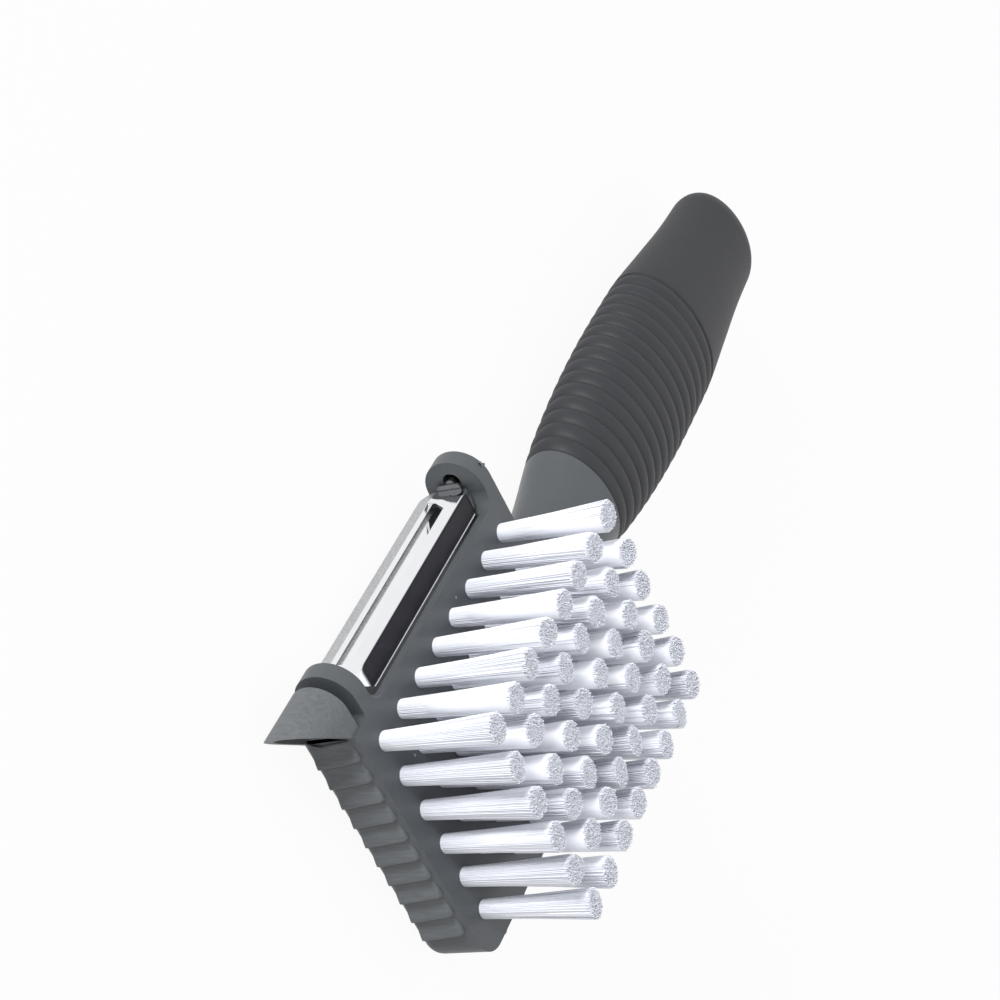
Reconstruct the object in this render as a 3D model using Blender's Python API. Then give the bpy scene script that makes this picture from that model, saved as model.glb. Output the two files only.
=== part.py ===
"""Kitchen brush with 48 bristle tufts, a swivel peeler blade, an eye gouge and a ringed grip.

Metres, +Z up. The origin is the middle of the head's flat back face.
+X runs along the handle, +Y points to the blade, +Z points the way the bristles stand.
"""

import math

import bmesh
import bpy
from mathutils import Vector

# Bristle field
TUFT_COLUMNS = 8
TUFT_ROWS = 6
TUFT_PITCH = 0.008
TUFT_BASE_RADIUS = 0.00175
TUFT_TIP_RADIUS = 0.00265
TUFT_LENGTH = 0.0229
TUFT_TIP_RAGGEDNESS = 0.0007
TUFT_SEAT_DEPTH = 0.005
TUFT_CLEARANCE = 0.0003
STRANDS_PER_TUFT = 8
STRAND_GAP = 0.00022
TUFT_SHAPES = 4

# Head block
FRONT_MARGIN = 0.00575
REAR_MARGIN = 0.0054
BLADE_MARGIN = 0.0057
FAR_MARGIN = 0.0077
HEAD_HEIGHT = 0.0125
HEAD_CORNER_RADIUS = 0.005
HEAD_EDGE_RADIUS = 0.001
BACK_EDGE_RADIUS = 0.003
EDGE_SEGMENTS = 2
ARC_STEP = math.radians(15)
CUT_OVERRUN = 0.002

# Arms that carry the blade
ARM_REACH = 0.0102
FRONT_ARM_SETBACK = 0.0048
FRONT_ARM_THICKNESS = 0.00355
REAR_ARM_THICKNESS = 0.0035
ARM_FILLET_RADIUS = 0.003
ARM_BACK_RISE = 0.0005
PIVOT_FROM_WALL = 0.0058
PIVOT_FROM_MIDDLE = 0.00025
PIVOT_HOLE_RADIUS = 0.0018
PIVOT_HOLE_DEPTH = 0.0023
SWING_RECESS_DEPTH = 0.0013

# Eye gouge in front of the front arm
GOUGE_BACK_THICKNESS = 0.00245
GOUGE_GROOVE_FLOOR = 0.0004
GOUGE_LENGTH = 0.0128
GOUGE_CREST = 0.01
GOUGE_WALL = 0.0013
GOUGE_MOUTH_TWIST = 0.0006
GOUGE_INSET = 0.00045
GOUGE_ROOT = 0.0011
GOUGE_POCKET_DEPTH = 0.0004
GOUGE_POCKET_DIP = 0.0011
GOUGE_POCKET_EDGE = 0.0002

# Ribbed edges
RIB_PITCH = 0.00456
RIB_RISE = 0.0009
RIB_GAP = 0.00035
RIB_CREST = 0.0006
RIB_EMBED = 0.0007
RIB_END_MARGIN = 0.0012
RIB_HIDDEN_END_MARGIN = 0.0003
RIB_BACK_MARGIN = 0.0015
RIB_TOP_EDGE = 0.0003
FIRST_FRONT_STEP = 0.00495
FIRST_SIDE_STEP = 0.0072
FIRST_REAR_STEP = 0.0052

# Swivel blade
BLADE_END_GAP = 0.0004
BLADE_WIDTH = 0.0101
BLADE_DROP = 0.00065
BLADE_DEPTH = 0.0048
BLADE_WALL = 0.0007
BLADE_BEND_RADIUS = 0.0005
BLADE_FACE_OFFSET = -0.00025
BLADE_END_LENGTH = 0.0045
BLADE_END_NARROWING = 0.0016
BLADE_END_DIP = 0.0007
FLANGE_SETBACK = 0.0038
GUIDE_REACH = 0.0036
SLOT_SETBACK = 0.0045
SLOT_SLANT = 0.0028
SLOT_WIDTH = 0.004
SLOT_OFFSET = 0.0006
TAB_WIDTH = 0.0052
TAB_DEPTH = 0.0017
TAB_RISE = 0.0002
TAB_CORNER = 0.0009
TAB_PROUD = 0.0001
PIN_RADIUS = 0.0009
PIN_LENGTH = 0.0022

# Handle
HANDLE_LENGTH = 0.13
HANDLE_HALF_WIDTH = 0.01725
HANDLE_HALF_THICKNESS = 0.01075
HANDLE_SIDE_OFFSET = 0.0025
HANDLE_DROP = 0.00075
HANDLE_END_RADIUS = 0.008
HANDLE_SIDES = 28
NECK_LENGTH = 0.0289
NECK_STEP = 0.0052
SEAM_GAP = 0.0003
GRIP_WALL = 0.0031
TANG_END_WALL = 0.0095
RING_COUNT = 15
RING_PITCH = 0.00382
RING_DEPTH = 0.0007
TONGUE_HALF_WIDTH = 0.008
TONGUE_THICKNESS = 0.004
TONGUE_LENGTH = 0.014
TONGUE_UNDER_TUFTS = 0.0011
TONGUE_CORNER = 0.0008
HANDLE_CELL = 0.006

# Outline of the handle: share of its length, of its half width and of its half thickness
HANDLE_OUTLINE_SHARES = (
    (0.0, 0.568, 0.545),
    (0.076, 0.573, 0.618),
    (0.152, 0.622, 0.782),
    (0.227, 0.768, 0.891),
    (0.265, 0.838, 0.927),
    (0.379, 0.951, 0.982),
    (0.492, 1.0, 1.0),
    (0.606, 0.989, 1.0),
    (0.659, 0.973, 0.991),
    (0.758, 0.881, 0.927),
    (0.871, 0.784, 0.845),
    (1.0, 0.735, 0.8),
)
# Rows of one grip ring: share of its pitch and share of its depth that the surface lies below its crest
RING_ROW_SHARES = ((0.0, 1.0), (0.16, 0.3), (0.5, 0.0), (0.84, 0.3))

# Places that follow from the sizes above
HEAD_LENGTH = FRONT_MARGIN + (TUFT_COLUMNS - 1) * TUFT_PITCH + REAR_MARGIN
HEAD_WIDTH = BLADE_MARGIN + (TUFT_ROWS - 1) * TUFT_PITCH + FAR_MARGIN
FRONT_X = -HEAD_LENGTH / 2
REAR_X = HEAD_LENGTH / 2
BLADE_WALL_Y = HEAD_WIDTH / 2
FAR_Y = -HEAD_WIDTH / 2
MIDDLE_Z = HEAD_HEIGHT / 2
ARM_ROUND_RADIUS = (HEAD_HEIGHT - ARM_BACK_RISE) / 2
ARM_MIDDLE_Z = HEAD_HEIGHT - ARM_ROUND_RADIUS
ARM_TIP_Y = BLADE_WALL_Y + ARM_REACH
FRONT_ARM_OUTER_X = FRONT_X + FRONT_ARM_SETBACK
FRONT_ARM_INNER_X = FRONT_ARM_OUTER_X + FRONT_ARM_THICKNESS
REAR_ARM_INNER_X = REAR_X - REAR_ARM_THICKNESS
GOUGE_BACK_X = FRONT_X + GOUGE_BACK_THICKNESS
PIVOT_Y = BLADE_WALL_Y + PIVOT_FROM_WALL
PIVOT_Z = MIDDLE_Z + PIVOT_FROM_MIDDLE
BLADE_START_X = FRONT_ARM_INNER_X + BLADE_END_GAP
BLADE_END_X = REAR_ARM_INNER_X - BLADE_END_GAP
HANDLE_Y = HANDLE_SIDE_OFFSET
HANDLE_Z = MIDDLE_Z - HANDLE_DROP
TONGUE_TOP_Z = HEAD_HEIGHT - TUFT_SEAT_DEPTH - TUFT_CLEARANCE - TONGUE_UNDER_TUFTS


def clear_scene():
    for obj in list(bpy.data.objects):
        bpy.data.objects.remove(obj, do_unlink=True)


def material(name, colour, roughness, metallic=0.0):
    made = bpy.data.materials.new(name)
    made.use_nodes = True
    shader = made.node_tree.nodes["Principled BSDF"]
    shader.inputs["Base Color"].default_value = (*colour, 1.0)
    shader.inputs["Roughness"].default_value = roughness
    shader.inputs["Metallic"].default_value = metallic
    return made


def make_object(name, mesh_data, finish, sharp_angle=35.0):
    """Turn a bmesh into an object, shaded smooth with its corners kept sharp."""
    bmesh.ops.recalc_face_normals(mesh_data, faces=mesh_data.faces)
    mesh = bpy.data.meshes.new(name)
    mesh_data.to_mesh(mesh)
    mesh_data.free()
    mesh.materials.append(finish)
    mesh.shade_smooth()
    mesh.set_sharp_from_angle(angle=math.radians(sharp_angle))
    obj = bpy.data.objects.new(name, mesh)
    bpy.context.scene.collection.objects.link(obj)
    return obj


def make_helper(name, mesh_data, finish):
    """Make a shape that only joins or cuts another one."""
    helper = make_object(name, mesh_data, finish)
    helper.hide_render = True
    helper.display_type = "WIRE"
    return helper


def boolean(obj, helper, operation):
    modifier = obj.modifiers.new(helper.name, "BOOLEAN")
    modifier.operation = operation
    modifier.solver = "EXACT"
    modifier.object = helper


def add_prism(mesh_data, outline, start, end):
    """Close a prism between two copies of a flat outline: start and end map its points to space."""
    low = [mesh_data.verts.new(start(u, v)) for u, v in outline]
    high = [mesh_data.verts.new(end(u, v)) for u, v in outline]
    mesh_data.faces.new(low[::-1])
    mesh_data.faces.new(high)
    count = len(outline)
    for i in range(count):
        j = (i + 1) % count
        mesh_data.faces.new((low[i], low[j], high[j], high[i]))


def prism_along_z(mesh_data, outline, low, high):
    add_prism(mesh_data, outline, lambda u, v: (u, v, low), lambda u, v: (u, v, high))


def prism_along_x(mesh_data, outline, low, high):
    add_prism(mesh_data, outline, lambda u, v: (low, u, v), lambda u, v: (high, u, v))


def arc(centre_u, centre_v, radius, first, last):
    """Points of an arc from the first to the last angle in degrees, both ends included."""
    sweep = math.radians(last - first)
    steps = max(2, round(abs(sweep) / ARC_STEP))
    angles = (math.radians(first) + sweep * i / steps for i in range(steps + 1))
    return [(centre_u + radius * math.cos(a), centre_v + radius * math.sin(a)) for a in angles]


def head_outline():
    """The head seen from the bristles, with the groove and both arms, counter-clockwise."""
    r = HEAD_CORNER_RADIUS
    fillet = ARM_FILLET_RADIUS
    groove = (FRONT_ARM_OUTER_X - GOUGE_BACK_X) / 2
    floor_y = BLADE_WALL_Y + GOUGE_GROOVE_FLOOR
    points = arc(FRONT_X + r, FAR_Y + r, r, 180, 270)
    points += arc(REAR_X - r, FAR_Y + r, r, 270, 360)
    points += [(REAR_X, ARM_TIP_Y), (REAR_ARM_INNER_X, ARM_TIP_Y)]
    points += arc(REAR_ARM_INNER_X - fillet, BLADE_WALL_Y + fillet, fillet, 0, -90)
    points += arc(FRONT_ARM_INNER_X + fillet, BLADE_WALL_Y + fillet, fillet, 270, 180)
    points += [(FRONT_ARM_INNER_X, ARM_TIP_Y), (FRONT_ARM_OUTER_X, ARM_TIP_Y)]
    points += arc(FRONT_ARM_OUTER_X - groove, floor_y + groove, groove, 0, -90)
    points += [(FRONT_X, floor_y)]
    return points


def round_end_cutter(finish):
    """What lies outside the half-round ends of both arms."""
    start_y = ARM_TIP_Y - ARM_ROUND_RADIUS
    beyond = CUT_OVERRUN
    points = [(start_y, HEAD_HEIGHT), (start_y, HEAD_HEIGHT + beyond)]
    points += [(ARM_TIP_Y + beyond, HEAD_HEIGHT + beyond), (ARM_TIP_Y + beyond, -beyond)]
    points += [(BLADE_WALL_Y, -beyond), (BLADE_WALL_Y, 0)]
    points += arc(start_y, ARM_MIDDLE_Z, ARM_ROUND_RADIUS, -90, 90)[:-1]
    shape = bmesh.new()
    prism_along_x(shape, points, FRONT_X - beyond, REAR_X + beyond)
    return make_helper("arm_round_end_cutter", shape, finish)


def back_edge_envelope(finish):
    """A larger body with the well rounded back edges that the head keeps at its front and far sides."""
    r = HEAD_CORNER_RADIUS
    beyond = CUT_OVERRUN
    end_x = REAR_X + beyond
    end_y = ARM_TIP_Y + beyond
    edge = BACK_EDGE_RADIUS
    levels = [(edge - across, edge - along) for along, across in arc(0, 0, edge, 90, 0)]
    rings = []
    for z, inset in levels + [(HEAD_HEIGHT + beyond, 0)]:
        outline = arc(FRONT_X + r, FAR_Y + r, r - inset, 180, 270)
        outline += [(end_x, FAR_Y + inset), (end_x, end_y), (FRONT_X + inset, end_y)]
        rings.append([(x, y, z) for x, y in outline])
    return make_helper("back_edge_envelope", loft(rings), finish)


def gouge_bar(outline, near_x, far_x, name, finish):
    """A bar along X with the outline of the scoop or of its hollow."""
    bar = bmesh.new()
    prism_along_x(bar, outline, near_x, far_x)
    return make_helper(name, bar, finish)


def mouth_cutter(tip_x, finish):
    """What lies beyond the scoop's mouth, a slanting plane a little twisted toward the bristles."""
    beyond = CUT_OVERRUN
    slope = GOUGE_CREST / (FRONT_X - tip_x)
    near_x = FRONT_X + GOUGE_BACK_THICKNESS
    far_x = tip_x - beyond * 3
    near_y = BLADE_WALL_Y - slope * GOUGE_BACK_THICKNESS
    far_y = BLADE_WALL_Y + slope * (FRONT_X - far_x)
    low_y = near_y - beyond
    outline = [(near_x, near_y), (far_x, far_y), (far_x, low_y), (near_x, low_y)]
    mouth = bmesh.new()
    lean = GOUGE_MOUTH_TWIST / 2
    back_z = -beyond
    front_z = HEAD_HEIGHT + beyond
    add_prism(mouth, outline, lambda u, v: (u, v - lean, back_z), lambda u, v: (u, v + lean, front_z))
    return make_helper("gouge_mouth_cutter", mouth, finish)


def add_gouge(head, finish):
    """The scoop: a half pipe with a slanting mouth, and the shallow pocket it leaves in the head."""
    outer_radius = ARM_ROUND_RADIUS - GOUGE_INSET
    inner_radius = outer_radius - GOUGE_WALL
    tip_x = GOUGE_BACK_X - GOUGE_LENGTH
    far_x = tip_x - CUT_OVERRUN
    centre_y = BLADE_WALL_Y + GOUGE_CREST - outer_radius
    root_y = BLADE_WALL_Y - GOUGE_ROOT

    outline = [(root_y, ARM_MIDDLE_Z - outer_radius)]
    outline += arc(centre_y, ARM_MIDDLE_Z, outer_radius, -90, 90)
    outline += [(root_y, ARM_MIDDLE_Z + outer_radius)]
    scoop = gouge_bar(outline, far_x, GOUGE_BACK_X, "gouge_shape", finish)
    boolean(scoop, mouth_cutter(tip_x, finish), "DIFFERENCE")
    boolean(head, scoop, "UNION")

    dip = GOUGE_POCKET_DIP
    dish_radius = (inner_radius**2 + dip**2) / dip / 2
    dish_angle = math.degrees(math.asin(inner_radius / dish_radius))
    dish_y = BLADE_WALL_Y - GOUGE_POCKET_EDGE - dip + dish_radius
    outline = arc(centre_y, ARM_MIDDLE_Z, inner_radius, -90, 90)
    outline += arc(dish_y, ARM_MIDDLE_Z, dish_radius, 180 - dish_angle, 180 + dish_angle)
    back_x = FRONT_X + GOUGE_POCKET_DEPTH
    hollow = gouge_bar(outline, far_x - CUT_OVERRUN, back_x, "gouge_hollow_cutter", finish)
    boolean(head, hollow, "DIFFERENCE")


def rib_outline(length):
    """One rib along its edge, from its step at 0 to the thin end of its ramp at length."""
    return [
        (0, -RIB_EMBED),
        (0, RIB_RISE - RIB_TOP_EDGE),
        (RIB_TOP_EDGE, RIB_RISE),
        (RIB_CREST, RIB_RISE),
        (length, 0),
        (length, -RIB_EMBED),
    ]


def rib_steps(first, last):
    """Places of the rib steps from first to last, whichever way they run."""
    count = int(abs(last - first) / RIB_PITCH + 1e-6) + 1
    turn = 1 if last > first else -1
    return [first + turn * i * RIB_PITCH for i in range(count)]


def add_rib(mesh_data, step, length, margin, place):
    """A rib on a wall, ending this margin below the face that holds the bristles: place maps the run
    along the wall and the rise to the plan.
    """
    outline = [place(step, run, rise) for run, rise in rib_outline(length)]
    prism_along_z(mesh_data, outline, RIB_BACK_MARGIN, HEAD_HEIGHT - margin)


def build_ribs(finish):
    ribs = bmesh.new()
    length = RIB_PITCH - RIB_GAP
    straight_low_y = FAR_Y + HEAD_CORNER_RADIUS
    straight_high_x = REAR_X - HEAD_CORNER_RADIUS
    handle_half = HANDLE_HALF_WIDTH * HANDLE_OUTLINE_SHARES[0][1]
    neck_low_y = HANDLE_Y - handle_half - RIB_GAP
    neck_high_y = HANDLE_Y + handle_half + RIB_GAP
    arm_limit_y = ARM_TIP_Y - RIB_END_MARGIN * 3
    margin = RIB_HIDDEN_END_MARGIN

    for step in rib_steps(BLADE_WALL_Y - FIRST_FRONT_STEP, straight_low_y):
        add_rib(ribs, step, length, RIB_END_MARGIN, lambda at, run, rise: (FRONT_X - rise, at + run))
    for step in rib_steps(FRONT_X + FIRST_SIDE_STEP, straight_high_x - length):
        add_rib(ribs, step, length, margin, lambda at, run, rise: (at + run, FAR_Y - rise))
    for step in rib_steps(BLADE_WALL_Y + FIRST_REAR_STEP, straight_low_y):
        cut_length = min(length, arm_limit_y - step)
        if step > neck_high_y or step + cut_length < neck_low_y:
            add_rib(ribs, step, cut_length, margin, lambda at, run, rise: (REAR_X + rise, at + run))
    return make_helper("rib_shapes", ribs, finish)


def tuft_places():
    """(row, column, x, y) of each tuft, counted from the gouge's corner."""
    return [
        (
            row + 1,
            column + 1,
            FRONT_X + FRONT_MARGIN + column * TUFT_PITCH,
            BLADE_WALL_Y - BLADE_MARGIN - row * TUFT_PITCH,
        )
        for row in range(TUFT_ROWS)
        for column in range(TUFT_COLUMNS)
    ]


def tuft_hole_cutter(finish):
    holes = bmesh.new()
    radius = TUFT_BASE_RADIUS + TUFT_CLEARANCE
    sides = STRANDS_PER_TUFT + 2
    for _, _, x, y in tuft_places():
        turns = [2 * math.pi * i / sides for i in range(sides)]
        outline = [(x + radius * math.cos(a), y + radius * math.sin(a)) for a in turns]
        floor_z = HEAD_HEIGHT - TUFT_SEAT_DEPTH - TUFT_CLEARANCE
        prism_along_z(holes, outline, floor_z, HEAD_HEIGHT + CUT_OVERRUN)
    return make_helper("tuft_hole_cutter", holes, finish)


def circle(centre_u, centre_v, radius, sides):
    turns = (2 * math.pi * i / sides for i in range(sides))
    return [(centre_u + radius * math.cos(a), centre_v + radius * math.sin(a)) for a in turns]


def pivot_hole_cutter(finish):
    """Both blind holes of the blade's pivot, from the blade's space into each arm."""
    holes = bmesh.new()
    outline = circle(PIVOT_Y, PIVOT_Z, PIVOT_HOLE_RADIUS, 16)
    middle = PIVOT_HOLE_RADIUS
    prism_along_x(holes, outline, FRONT_ARM_INNER_X - PIVOT_HOLE_DEPTH, FRONT_ARM_INNER_X + middle)
    prism_along_x(holes, outline, REAR_ARM_INNER_X - middle, REAR_ARM_INNER_X + PIVOT_HOLE_DEPTH)
    return make_helper("pivot_hole_cutter", holes, finish)


def swing_recess_cutter(finish):
    """A shallow step in the wall behind the blade, where its flanges swing past, open at the back."""
    low_y = BLADE_WALL_Y - SWING_RECESS_DEPTH
    high_y = BLADE_WALL_Y + SWING_RECESS_DEPTH
    high_z = PIVOT_Z + BLADE_WIDTH / 2 - BLADE_DROP
    outline = [(low_y, -CUT_OVERRUN), (high_y, -CUT_OVERRUN), (high_y, high_z), (low_y, high_z)]
    recess = bmesh.new()
    first = FRONT_ARM_INNER_X + ARM_FILLET_RADIUS
    last = REAR_ARM_INNER_X - ARM_FILLET_RADIUS
    prism_along_x(recess, outline, first, last)
    return make_helper("swing_recess_cutter", recess, finish)


def rounded_rectangle(centre_u, centre_v, half_u, half_v, radius):
    points = []
    for turn, (sign_u, sign_v) in enumerate(((1, 1), (-1, 1), (-1, -1), (1, -1))):
        corner_u = centre_u + sign_u * (half_u - radius)
        corner_v = centre_v + sign_v * (half_v - radius)
        points += arc(corner_u, corner_v, radius, 90 * turn, 90 * turn + 90)
    return points


def tongue_outline(extra):
    """The section of the handle core's tongue, grown by extra all round."""
    return rounded_rectangle(
        HANDLE_Y,
        TONGUE_TOP_Z - TONGUE_THICKNESS / 2,
        TONGUE_HALF_WIDTH + extra,
        TONGUE_THICKNESS / 2 + extra,
        TONGUE_CORNER,
    )


def build_head_block(finish):
    body = bmesh.new()
    prism_along_z(body, head_outline(), 0, HEAD_HEIGHT)
    head = make_object("head_block", body, finish)
    boolean(head, round_end_cutter(finish), "DIFFERENCE")
    boolean(head, back_edge_envelope(finish), "INTERSECT")

    rounding = head.modifiers.new("edge_rounding", "BEVEL")
    rounding.width = HEAD_EDGE_RADIUS
    rounding.segments = EDGE_SEGMENTS
    rounding.limit_method = "ANGLE"
    rounding.angle_limit = math.radians(50)

    add_gouge(head, finish)
    boolean(head, build_ribs(finish), "UNION")

    socket = bmesh.new()
    depth_x = REAR_X - TONGUE_LENGTH - SEAM_GAP
    prism_along_x(socket, tongue_outline(SEAM_GAP), depth_x, REAR_X + CUT_OVERRUN)
    boolean(head, make_helper("tongue_socket_cutter", socket, finish), "DIFFERENCE")
    boolean(head, pivot_hole_cutter(finish), "DIFFERENCE")
    boolean(head, swing_recess_cutter(finish), "DIFFERENCE")
    boolean(head, tuft_hole_cutter(finish), "DIFFERENCE")
    return head


def channel_ring(x, narrowing, dip):
    """The blade's section about its pivot: a web outward, one flange toward the head on the bristles'
    side, and on the back side a guide that leans inward behind the slot.
    """
    r = BLADE_BEND_RADIUS
    lean = math.sqrt(0.5)
    face = BLADE_FACE_OFFSET - dip
    edge = BLADE_FACE_OFFSET - BLADE_DEPTH
    high = BLADE_WIDTH / 2 - BLADE_DROP - narrowing
    low = -BLADE_WIDTH / 2 - BLADE_DROP + narrowing
    inside = face - BLADE_WALL
    guide_edge = BLADE_FACE_OFFSET - GUIDE_REACH
    guide_outer = face + low - r / lean
    guide_inner = guide_outer + BLADE_WALL / lean
    points = [(edge, high)]
    points += arc(face - r, high - r, r, 90, 0)
    points += arc(face - r, low + r, r, 0, -135)
    points += [(guide_edge, guide_outer - guide_edge), (guide_edge, guide_inner - guide_edge)]
    points += [(inside, guide_inner - inside), (inside, high - BLADE_WALL), (edge, high - BLADE_WALL)]
    return [(x, y, z) for y, z in points]


def flange_end_cutter(finish):
    """What the flanges lack at both ends, where their edges slant back to the web."""
    beyond = CUT_OVERRUN
    web_y = BLADE_FACE_OFFSET - BLADE_END_DIP - BLADE_WALL
    edge_y = BLADE_FACE_OFFSET - BLADE_DEPTH - beyond
    slope = FLANGE_SETBACK / (BLADE_DEPTH - BLADE_END_DIP - BLADE_WALL)
    cut = bmesh.new()
    for tip, inward in ((BLADE_START_X, 1), (BLADE_END_X, -1)):
        outside = tip - inward * beyond
        far_x = tip + inward * (FLANGE_SETBACK + slope * beyond)
        outline = [(outside, web_y), (tip, web_y), (far_x, edge_y), (outside, edge_y)]
        prism_along_z(cut, outline, -BLADE_WIDTH, BLADE_WIDTH)
    return make_helper("flange_end_cutter", cut, finish)


def slot_cutter(finish):
    """The blade's long slot, slanted at the end next to the handle."""
    low = -SLOT_WIDTH / 2 - SLOT_OFFSET
    high = SLOT_WIDTH / 2 - SLOT_OFFSET
    first = BLADE_START_X + SLOT_SETBACK
    last = BLADE_END_X - SLOT_SETBACK
    inside = BLADE_FACE_OFFSET - BLADE_WALL * 2
    outside = BLADE_FACE_OFFSET + CUT_OVERRUN
    outline = [(first, low), (last, low), (last - SLOT_SLANT, high), (first, high)]
    slot = bmesh.new()
    add_prism(slot, outline, lambda u, v: (u, inside, v), lambda u, v: (u, outside, v))
    return make_helper("slot_cutter", slot, finish)


def build_peeler_blade(finish):
    """The steel channel with its slot, end tabs and pivot pins, about the pivot axis."""
    start = BLADE_START_X
    end = BLADE_END_X
    rings = [
        channel_ring(start + TAB_PROUD, BLADE_END_NARROWING, BLADE_END_DIP),
        channel_ring(start + BLADE_END_LENGTH, 0, 0),
        channel_ring(end - BLADE_END_LENGTH, 0, 0),
        channel_ring(end - TAB_PROUD, BLADE_END_NARROWING, BLADE_END_DIP),
    ]
    blade = make_object("peeler_blade", loft(rings), finish)
    blade.location = (0, PIVOT_Y, PIVOT_Z)

    tabs = bmesh.new()
    pins = bmesh.new()
    tab_low = BLADE_FACE_OFFSET - TAB_DEPTH
    tab_high = TAB_RISE
    tab_outline = rounded_rectangle(
        (tab_low + tab_high) / 2,
        -BLADE_DROP,
        (tab_high - tab_low) / 2,
        TAB_WIDTH / 2,
        TAB_CORNER,
    )
    pin_outline = circle(0, 0, PIN_RADIUS, 16)
    inside = BLADE_WALL / 2
    reach = BLADE_END_GAP + PIN_LENGTH - SEAM_GAP
    for outer, inward in ((start, 1), (end, -1)):
        prism_along_x(tabs, tab_outline, *sorted((outer, outer + inward * BLADE_WALL)))
        prism_along_x(pins, pin_outline, *sorted((outer - inward * reach, outer + inward * inside)))

    for helper, operation in (
        (flange_end_cutter(finish), "DIFFERENCE"),
        (slot_cutter(finish), "DIFFERENCE"),
        (make_helper("end_tab_shapes", tabs, finish), "UNION"),
        (make_helper("pin_shapes", pins, finish), "UNION"),
    ):
        helper.location = blade.location
        boolean(blade, helper, operation)
    return blade


def blend(stations, at):
    """A smooth value between stations of (place, value), by cubic steps with averaged slopes."""
    last = len(stations) - 1
    i = max(k for k in range(last) if stations[k][0] <= at or k == 0)

    def slope(k):
        low = max(k - 1, 0)
        high = min(k + 1, last)
        return (stations[high][1] - stations[low][1]) / (stations[high][0] - stations[low][0])

    (a, value_a), (b, value_b) = stations[i], stations[i + 1]
    width = b - a
    t = (at - a) / width
    rise_a = slope(i) * width
    rise_b = slope(i + 1) * width
    return (
        value_a * (2 * t**3 - 3 * t**2 + 1)
        + rise_a * (t**3 - 2 * t**2 + t)
        + value_b * (3 * t**2 - 2 * t**3)
        + rise_b * (t**3 - t**2)
    )


def handle_section(s):
    """Half width and half thickness of the handle at this distance from the head."""
    at = s / HANDLE_LENGTH
    half_width = HANDLE_HALF_WIDTH * blend([(p, w) for p, w, _ in HANDLE_OUTLINE_SHARES], at)
    half_thickness = HANDLE_HALF_THICKNESS * blend([(p, t) for p, _, t in HANDLE_OUTLINE_SHARES], at)
    past = s - (HANDLE_LENGTH - HANDLE_END_RADIUS)
    drawn_in = 0.0
    if past > 0:
        share = min(past / HANDLE_END_RADIUS, 1.0)
        drawn_in = HANDLE_END_RADIUS * (1 - math.sqrt(1 - share * share))
    return half_width - drawn_in, half_thickness - drawn_in


def oval(s, inset=0.0):
    """One ring of points round the handle at distance s from the head, drawn in by inset."""
    half_width, half_thickness = handle_section(s)
    half_width -= inset
    half_thickness -= inset
    turns = (2 * math.pi * i / HANDLE_SIDES for i in range(HANDLE_SIDES))
    return [
        Vector((REAR_X + s, HANDLE_Y + half_width * math.cos(a), HANDLE_Z + half_thickness * math.sin(a)))
        for a in turns
    ]


def loft(rings):
    """Close a surface through rings of points, with a flat cap at both ends."""
    shape = bmesh.new()
    rows = [[shape.verts.new(point) for point in ring] for ring in rings]
    for low, high in zip(rows, rows[1:]):
        for i in range(len(low)):
            j = (i + 1) % len(low)
            shape.faces.new((low[i], low[j], high[j], high[i]))
    shape.faces.new(rows[0][::-1])
    shape.faces.new(rows[-1])
    return shape


def spaced(first, last, cell):
    """Evenly spaced places from first to last, either way, about one cell apart."""
    steps = max(1, round(abs(last - first) / cell))
    return [first + (last - first) * i / steps for i in range(steps + 1)]


def build_handle_core(finish):
    """The smooth neck, the tang inside the grip and the tongue that seats in the head."""
    tang_inset = GRIP_WALL + SEAM_GAP
    tang_end = HANDLE_LENGTH - TANG_END_WALL - SEAM_GAP
    neck_end = NECK_LENGTH - SEAM_GAP
    rings = [oval(s) for s in spaced(SEAM_GAP, neck_end, NECK_STEP)]
    rings += [oval(s, tang_inset) for s in spaced(neck_end, tang_end, HANDLE_CELL * 2)]
    core = make_object("handle_core", loft(rings), finish)

    tongue = bmesh.new()
    prism_along_x(tongue, tongue_outline(0), REAR_X - TONGUE_LENGTH, REAR_X + TONGUE_CORNER)
    boolean(core, make_helper("tongue_shape", tongue, finish), "UNION")
    return core


def build_handle_grip(finish):
    """The sleeve: cast rings outside, a blind hollow for the tang inside, a round end."""
    hollow_end = HANDLE_LENGTH - TANG_END_WALL
    rings_end = NECK_LENGTH + RING_COUNT * RING_PITCH
    rounding_start = HANDLE_LENGTH - HANDLE_END_RADIUS
    rings = [oval(s, GRIP_WALL) for s in spaced(hollow_end, NECK_LENGTH, HANDLE_CELL * 2)]
    for ring in range(RING_COUNT):
        for along_share, depth_share in RING_ROW_SHARES:
            s = NECK_LENGTH + (ring + along_share) * RING_PITCH
            rings.append(oval(s, depth_share * RING_DEPTH))
    rings.append(oval(rings_end, RING_DEPTH))
    rings += [oval(s) for s in spaced(rings_end + RING_DEPTH, rounding_start, HANDLE_CELL)]
    for step in range(1, 6):
        turn = math.radians(18 * step)
        rings.append(oval(rounding_start + HANDLE_END_RADIUS * math.sin(turn)))
    return make_object("handle_grip", loft(rings), finish, sharp_angle=60.0)


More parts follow.
